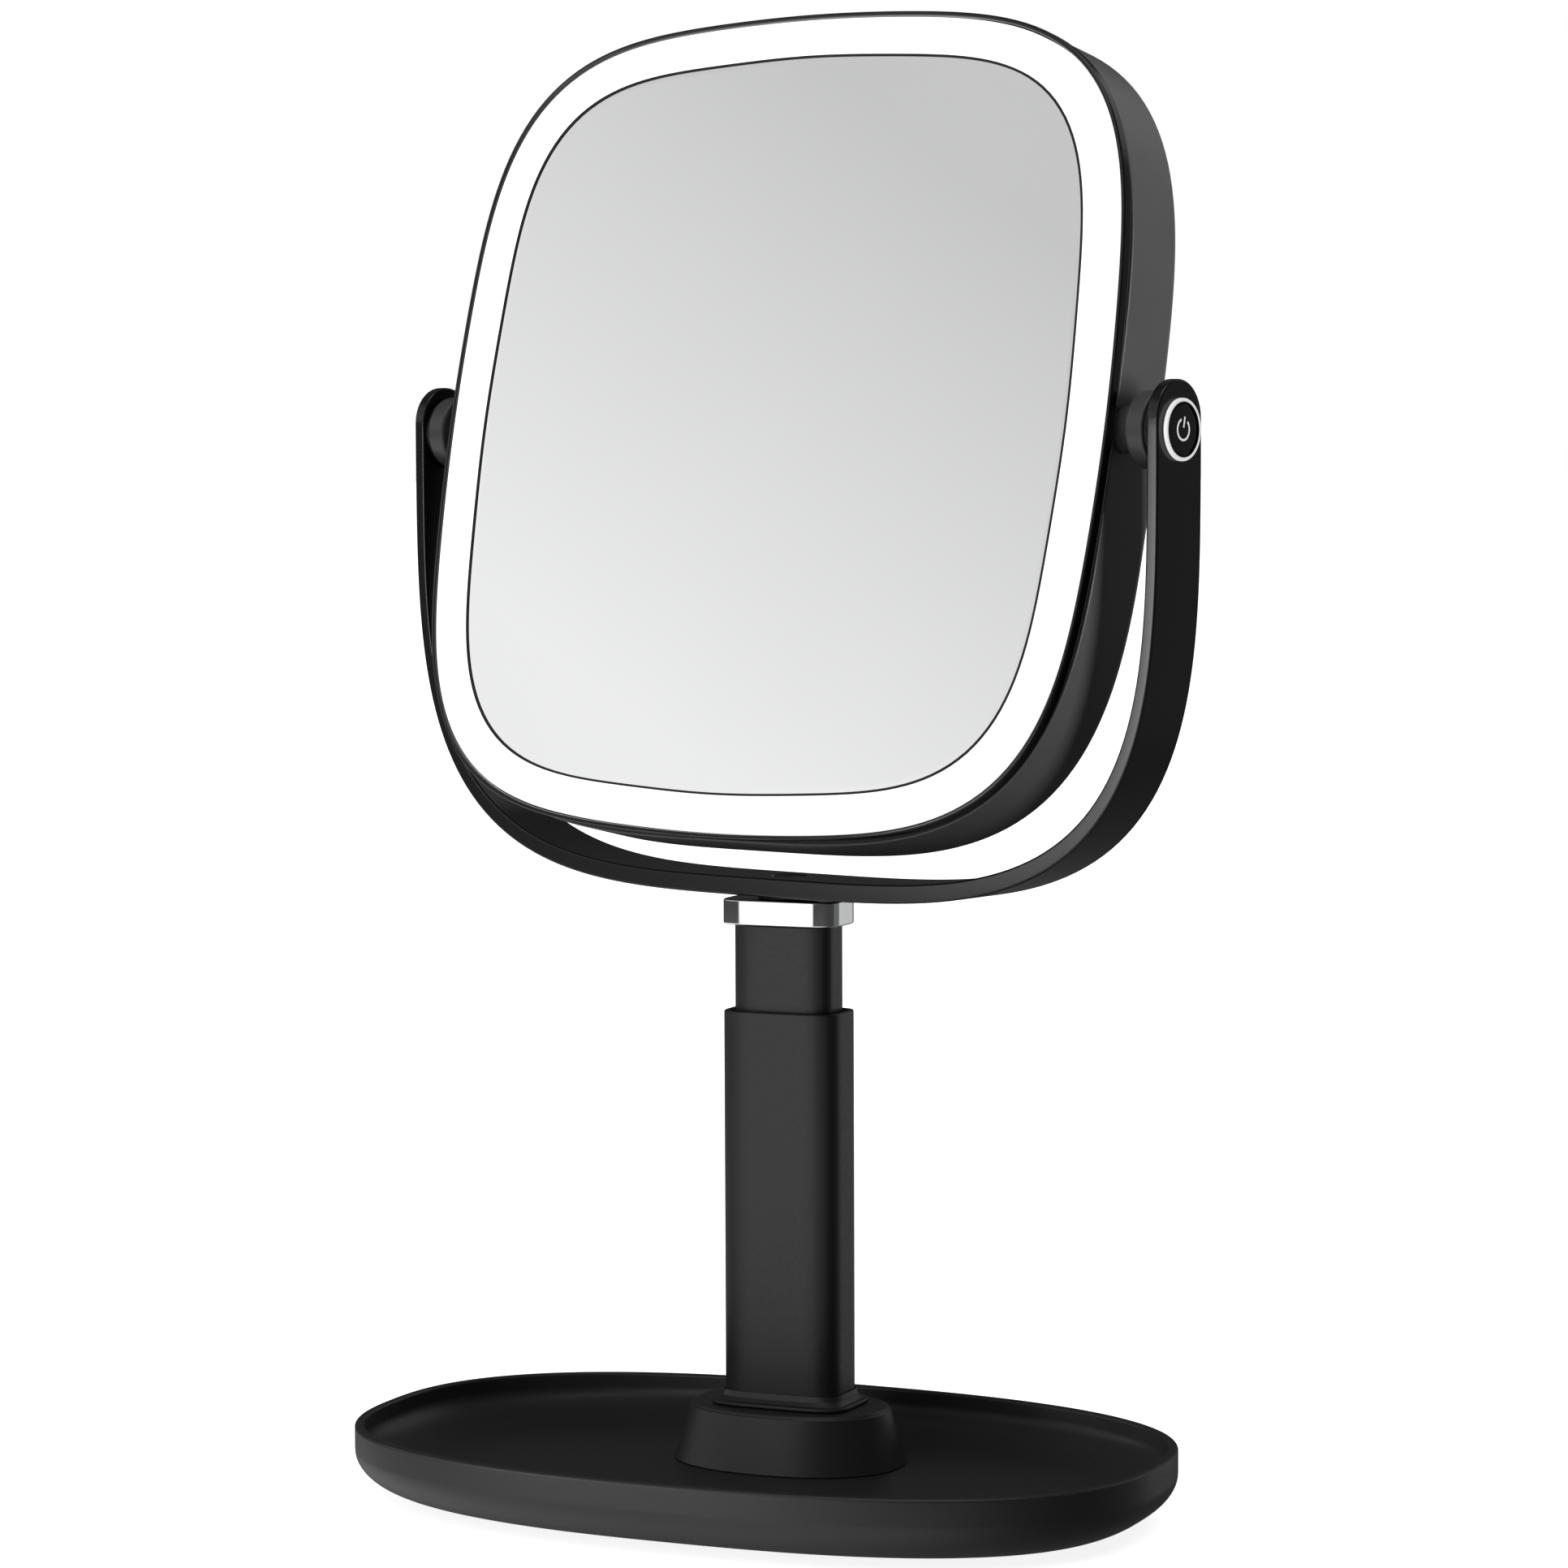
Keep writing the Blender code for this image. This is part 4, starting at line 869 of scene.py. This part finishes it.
def build_bezel():
    """A rounded bead round the light ring, then a groove, then the lip that the housing meets."""
    low, high = span("front_bezel", HEAD)
    half = shrunk(half_of("light_diffuser"), -0.0001)
    ring_back = span("light_diffuser", HEAD)[1].y + GAP
    housing_front = span("rear_housing", HEAD)[0].y
    bead_back = low.y + 0.0036
    corners = [
        (-0.0003, low.y + 0.0006, 0.0002),
        (-0.0005, low.y, 0.0005),
        (-0.0015, low.y + 0.0001, 0.0012),
        (-0.0015, bead_back, 0.0008),
        (0.0012, bead_back + 0.0004, 0.0003),
        (0.0012, housing_front - 0.0003, 0.0002),
        (0.0045, housing_front - 0.0003, 0),
        (0.0045, high.y, 0),
        (0.0065, high.y, 0),
        (0.0065, ring_back, 0),
        (-0.0003, ring_back, 0),
    ]
    loops = [head_loop(shrunk(half, inset), RING_POWER, y, RING_SOFTEN) for inset, y in rounded(corners, 6)]
    mesh = skin("bead", loops, closed=True)
    piece("bead", mesh, "head", HEAD, "gloss_black", GLOSS, "front_bezel")


def build_housing():
    low, high = span("rear_housing", HEAD)
    half = (high.x, high.z)
    wall = 0.0022
    bend = 0.0038
    front_round = 0.0005
    corners = [
        (wall, high.y - bend, 0),
        (wall, low.y, 0.0003),
        (0.0, low.y, front_round),
        (0.0, high.y, bend),
        (bend * 3, high.y, 0),
    ]
    outside = rounded(corners, steps=14, closed=False)
    floor = high.y - wall
    inside = rounded([(bend * 3, floor, 0), (wall, floor, 0.003), (wall, low.y, 0)], 8, False)
    profile = inside[:-1] + outside[1:]
    loops = [head_loop(shrunk(half, inset), HOUSING_POWER, y) for inset, y in profile]
    inlet_low, inlet_high = span("charging_inlet", HEAD)
    middle = (inlet_low + inlet_high) / 2
    mouth = [
        (0.0, high.y - 0.006),
        (0.0, high.y - 0.0005),
        (0.0007, high.y + 0.0002),
        (0.0007, high.y + 0.002),
    ]
    slot = []
    for flare, y in mouth:
        outline = superellipse((0.0049 + flare, 0.0021 + flare), 3.2, 48)
        slot.append(upright(outline, y, (middle.x, middle.z)))
    mesh = changed("rear_shell", skin("rear_blank", loops), cuts=[skin("inlet_slot", slot)])
    piece("rear_shell", mesh, "head", HEAD, "satin_black", BLACK_HOUSING, "rear_housing")


def build_inlet():
    """The charging socket: a stadium shell with its contact tongue."""
    low, high = span("charging_inlet", HEAD)
    middle = (low + high) / 2
    half = ((high.x - low.x) / 2, (high.z - low.z) / 2)
    wall = 0.0003
    depth = 0.0050
    corners = [
        (0.0, low.y, 0),
        (0.0, high.y, 0.0001),
        (wall, high.y, 0.0001),
        (wall, high.y - depth, 0),
    ]
    loops = [
        upright(superellipse(shrunk(half, inset), 4, 64), y, (middle.x, middle.z))
        for inset, y in rounded(corners, 3, closed=False)
    ]
    piece("socket_shell", skin("socket_shell", loops), "head", HEAD, "steel", STEEL, "charging_inlet")
    tongue_half = (half[0] - 0.0011, 0.0003)
    loops = [
        upright(superellipse(tongue_half, 6, 32), y, (middle.x, middle.z))
        for y in (high.y - depth + 0.0001, high.y - 0.0012)
    ]
    mesh = skin("socket_tongue", loops)
    piece("socket_tongue", mesh, "head", HEAD, "gloss_black", GLOSS)


def build_pivots():
    boss_low, boss_high = span("pivot_boss_right", HEAD)
    radius = boss_high.y
    bore = PIVOT_BORE
    sleeve_radius = 0.0074
    shoulder = 0.1235
    start = 0.1178
    neck = 0.0062
    housing = span("rear_housing", HEAD)[1].x
    profile = rounded(
        [
            (bore, boss_high.x, 0),
            (sleeve_radius, boss_high.x, 0.0002),
            (sleeve_radius, shoulder, 0.0002),
            (radius, shoulder, 0.0006),
            (radius, start, 0.0012),
            (neck, start, 0.0004),
            (neck, housing + 0.0004, 0.0002),
            (0.0026, housing + 0.0004, 0),
            (0.0026, boss_low.x, 0.0003),
            (0.0011, boss_low.x, 0),
            (0.0011, 0.1205, 0),
            (bore, 0.1205, 0),
        ]
    )
    for side, word in ((1, "right"), (-1, "left")):
        name = f"boss_{word}"
        mesh = turned(name, profile, side=side)
        piece(name, mesh, "head", HEAD, "satin_black", BLACK_HOUSING, f"pivot_boss_{word}")


def build_button():
    """A glossy cap in a lit ring on the right; a plain satin cap on the left."""
    low, high = span("button_ring", HEAD)
    outer = high.y
    inner = LIT_RING_INNER
    ring = rounded([(inner, high.x, 0.0001), (outer, high.x, 0.0003), (outer, low.x, 0), (inner, low.x, 0)])
    piece("ring_light", turned("ring_light", ring), "head", HEAD, "light_ring", ICON, "button_ring")
    lip = PIVOT_BORE
    seat_corners = [(lip, high.x, 0.0001), (inner, high.x - 0.00005, 0), (inner, low.x, 0), (lip, low.x, 0)]
    seat = rounded(seat_corners)
    piece("ring_seat", turned("ring_seat", seat), "head", HEAD, "gloss_black", GLOSS)

    low, high = span("pivot_cap", HEAD)
    face = -low.x
    inside = -high.x
    neck = 0.0066
    cap_profile = rounded(
        [
            (0.0030, face + 0.0001, 0),
            (outer, face, 0.0006),
            (outer, inside + 0.0049, 0),
            (neck, inside + 0.0049, 0),
            (neck, inside, 0.0003),
            (0.0030, inside, 0),
        ],
        closed=False,
    )
    mesh = turned("plain_cap", cap_profile, closed=False, side=-1)
    piece("plain_cap", mesh, "head", HEAD, "satin_black", BLACK_HOUSING, "pivot_cap")

    low, high = span("power_button", HEAD)
    radius = high.y
    dome = 0.00015
    shares = (0.15, 0.35, 0.55, 0.75)
    profile = [(radius * share, high.x + dome * (1 - share**2) - dome) for share in shares]
    profile += rounded(
        [
            (radius * 0.85, high.x - dome * 0.75, 0),
            (radius, high.x - dome, 0.0004),
            (radius, high.x - 0.0026, 0.0001),
            (0.0016, high.x - 0.0026, 0),
            (0.0016, low.x, 0),
        ],
        closed=False,
    )
    mesh = turned("button_cap", profile, closed=False)
    piece("button_cap", mesh, "button", HEAD, "gloss_black", GLOSS, "power_button")
    build_icon(high.x)


def build_icon(face):
    """The usual power sign: an open ring with a bar in its gap, printed on the button."""
    lift = face + 0.00002
    ring_radius = 0.0027
    line = 0.00055
    open_half = math.radians(32)
    steps = 60
    bm = bmesh.new()
    loops = []
    for i in range(steps + 1):
        angle = math.pi / 2 + open_half + (2 * math.pi - 2 * open_half) * i / steps
        loop = []
        for radius, x in (
            (ring_radius - line / 2, lift),
            (ring_radius + line / 2, lift),
            (ring_radius + line / 2, lift - 0.0002),
            (ring_radius - line / 2, lift - 0.0002),
        ):
            loop.append(bm.verts.new((x, radius * math.cos(angle), radius * math.sin(angle))))
        loops.append(loop)
    for one, other in zip(loops, loops[1:]):
        for i in range(4):
            j = (i + 1) % 4
            bm.faces.new((one[i], one[j], other[j], other[i]))
    bm.faces.new(loops[0])
    bm.faces.new(loops[-1])
    made = bmesh.ops.create_cube(bm, size=1.0)["verts"]
    bmesh.ops.scale(bm, vec=(0.0002, line, ring_radius * 1.05), verts=made)
    bmesh.ops.translate(bm, vec=(lift - 0.0001, 0, ring_radius * 0.72), verts=made)
    piece("power_sign", finish_mesh("power_sign", bm), "button", HEAD, "white_plastic", ICON)


# ---------------------------------------------------------------- stage


def build_floor():
    """A wide pale floor that shows only to the camera, glows like a lit sweep and takes soft shadows."""
    bm = bmesh.new()
    bmesh.ops.create_circle(bm, cap_ends=True, segments=96, radius=30.0)
    mesh = finish_mesh("floor", bm)
    made, tree, shader = shader_of("pale_floor", (0.93, 0.93, 0.93), 0.9)
    tint(tree, shader, noise(tree, 2, 2), (0.925, 0.925, 0.925), (0.935, 0.935, 0.935))
    shader.inputs["Specular IOR Level"].default_value = 0.0
    shader.inputs["Emission Color"].default_value = (1.0, 1.0, 1.0, 1.0)
    shader.inputs["Emission Strength"].default_value = 0.86
    mesh.materials.append(made)
    floor = bpy.data.objects.new("floor", mesh)
    bpy.context.scene.collection.objects.link(floor)
    floor.location.z = CAD_BOX[0].z - 0.0001
    floor.visible_glossy = False
    floor.visible_diffuse = False
    return floor


def softbox(name, direction, distance, width, height, radiance):
    """A rectangular light that looks at the mirror. Its power follows from the radiance wanted."""
    target = Vector((0, 0, 0.22))
    out = Vector(direction).normalized()
    data = bpy.data.lights.new(name, "AREA")
    data.shape = "RECTANGLE"
    data.size = width
    data.size_y = height
    data.energy = radiance * math.pi * width * height
    light = bpy.data.objects.new(name, data)
    bpy.context.scene.collection.objects.link(light)
    light.location = target + out * distance
    light.rotation_euler = out.to_track_quat("Z", "Y").to_euler()
    light.visible_camera = False
    return light


def light_only(light, things):
    """Limits what a light falls on."""
    lit = bpy.data.collections.new(f"lit_by_{light.name}")
    for thing in things:
        lit.objects.link(thing)
    light.light_linking.receiver_collection = lit


def build_floor_light(floor):
    """An even overhead light for the floor alone, which keeps it white up to the tray's edge."""
    sun = bpy.data.lights.new("overhead", "SUN")
    sun.energy = 1.2
    sun.angle = math.radians(90)
    overhead = bpy.data.objects.new("overhead", sun)
    bpy.context.scene.collection.objects.link(overhead)
    light_only(overhead, [floor])


def build_lights():
    key = softbox("key_right", (0.975, -0.20, 0.12), 1.7, 0.50, 0.9, 16.0)
    shells = ("rear_shell", "boss_right", "boss_left")
    light_only(key, [bpy.data.objects[name] for name in shells])
    card = softbox("card_front_left", (-0.610, -0.792, -0.03), 1.6, 0.52, 0.30, 7.5)
    light_only(card, [bpy.data.objects[name] for name in ("yoke_strap", "bead", "tray_shell")])
    softbox("card_above", (0.1, -0.2, 1.0), 1.5, 0.9, 0.9, 1.6)


# Soft-edged cards of the studio: direction, cosines at the rim and at the full part, radiance
CARDS = (
    ((-0.36, -0.93, -0.06), 0.962, 0.988, 1.9),
    ((0.36, 0.93, -0.06), 0.965, 0.992, 0.55),
    ((-0.33, -0.80, 0.50), 0.880, 0.980, 1.2),
    ((0.33, 0.80, 0.50), 0.920, 0.980, 0.45),
    ((0.75, 0.66, -0.05), 0.800, 0.970, 0.14),
)


def build_world():
    """White to the camera. Everything else sees a dim studio, its cards and a graded one front left."""
    world = bpy.data.worlds.new("studio")
    bpy.context.scene.world = world
    world.use_nodes = True
    tree = world.node_tree
    nodes = tree.nodes
    links = tree.links
    nodes.clear()

    def math_node(operation, first, second):
        node = nodes.new("ShaderNodeMath")
        node.operation = operation
        for socket, value in zip(node.inputs, (first, second)):
            if isinstance(value, (int, float)):
                socket.default_value = value
            else:
                links.new(value, socket)
        return node.outputs["Value"]

    def ramp(source, from_low, from_high, to_low, to_high):
        """A smooth step from one value to another."""
        node = nodes.new("ShaderNodeMapRange")
        node.interpolation_type = "SMOOTHSTEP"
        for name, value in zip(
            ("From Min", "From Max", "To Min", "To Max"), (from_low, from_high, to_low, to_high)
        ):
            node.inputs[name].default_value = value
        links.new(source, node.inputs["Value"])
        return node.outputs["Result"]

    place = nodes.new("ShaderNodeTexCoord")
    split = nodes.new("ShaderNodeSeparateXYZ")
    links.new(place.outputs["Generated"], split.inputs["Vector"])

    def along(direction):
        """How far a ray heads along a direction."""
        node = nodes.new("ShaderNodeVectorMath")
        node.operation = "DOT_PRODUCT"
        node.inputs[1].default_value = Vector(direction)
        links.new(place.outputs["Generated"], node.inputs[0])
        return node.outputs["Value"]

    def mix(factor, one, other):
        """One value where the factor is 0, the other where it is 1."""
        node = nodes.new("ShaderNodeMix")
        node.data_type = "FLOAT"
        for name, value in (("Factor", factor), ("A", one), ("B", other)):
            if isinstance(value, (int, float)):
                node.inputs[name].default_value = value
            else:
                links.new(value, node.inputs[name])
        return node.outputs["Result"]

    room = ramp(split.outputs["Z"], 0.3, 1.0, 0.05, 0.12)
    bounce = ramp(along((-0.75, -0.66, 0.0)), -0.3, 0.6, 0.10, 0.90)
    below = ramp(split.outputs["Z"], -0.08, -0.30, 0.0, 1.0)
    studio = mix(below, room, bounce)
    for direction, edge, middle, radiance in CARDS:
        card = ramp(along(Vector(direction).normalized()), edge, middle, 0.0, radiance)
        studio = math_node("MAXIMUM", studio, card)

    grade = nodes.new("ShaderNodeMapRange")
    for name, value in (("From Min", -0.09), ("From Max", 0.06), ("To Min", 0.865), ("To Max", 0.575)):
        grade.inputs[name].default_value = value
    links.new(along((0.532, -0.141, 1.0)), grade.inputs["Value"])
    beside = ramp(along((-0.83, -0.56, 0.0)), 0.62, 0.82, 0.0, 1.0)
    above = ramp(split.outputs["Z"], 0.08, 0.16, 0.0, 1.0)
    studio = mix(math_node("MULTIPLY", beside, above), studio, grade.outputs["Result"])

    path = nodes.new("ShaderNodeLightPath")
    background = nodes.new("ShaderNodeBackground")
    links.new(mix(path.outputs["Is Camera Ray"], studio, 1.0), background.inputs["Color"])
    output = nodes.new("ShaderNodeOutputWorld")
    links.new(background.outputs["Background"], output.inputs["Surface"])


def build_camera():
    data = bpy.data.cameras.new("camera")
    data.sensor_width = 36.0
    data.lens = 109.36
    camera = bpy.data.objects.new("camera", data)
    bpy.context.scene.collection.objects.link(camera)
    yaw = 0.4095
    pitch = -0.0729
    roll = -0.0038
    camera.matrix_world = (
        Matrix.Translation((0.5187, -1.1979, 0.2917))
        @ Matrix.Rotation(yaw, 4, "Z")
        @ Matrix.Rotation(math.pi / 2 + pitch, 4, "X")
        @ Matrix.Rotation(roll, 4, "Z")
    )
    bpy.context.scene.camera = camera


def main():
    dress_cad_nodes()
    build_tray()
    build_pad()
    build_hub()
    build_foot_ring()
    build_column()
    build_post()
    build_collar()
    build_yoke()
    build_swivel_screw()
    build_glass()
    build_diffuser()
    build_bezel()
    build_housing()
    build_inlet()
    build_pivots()
    build_button()
    build_floor_light(build_floor())
    build_lights()
    build_world()
    build_camera()
    bpy.context.scene.view_settings.view_transform = "Standard"


main()
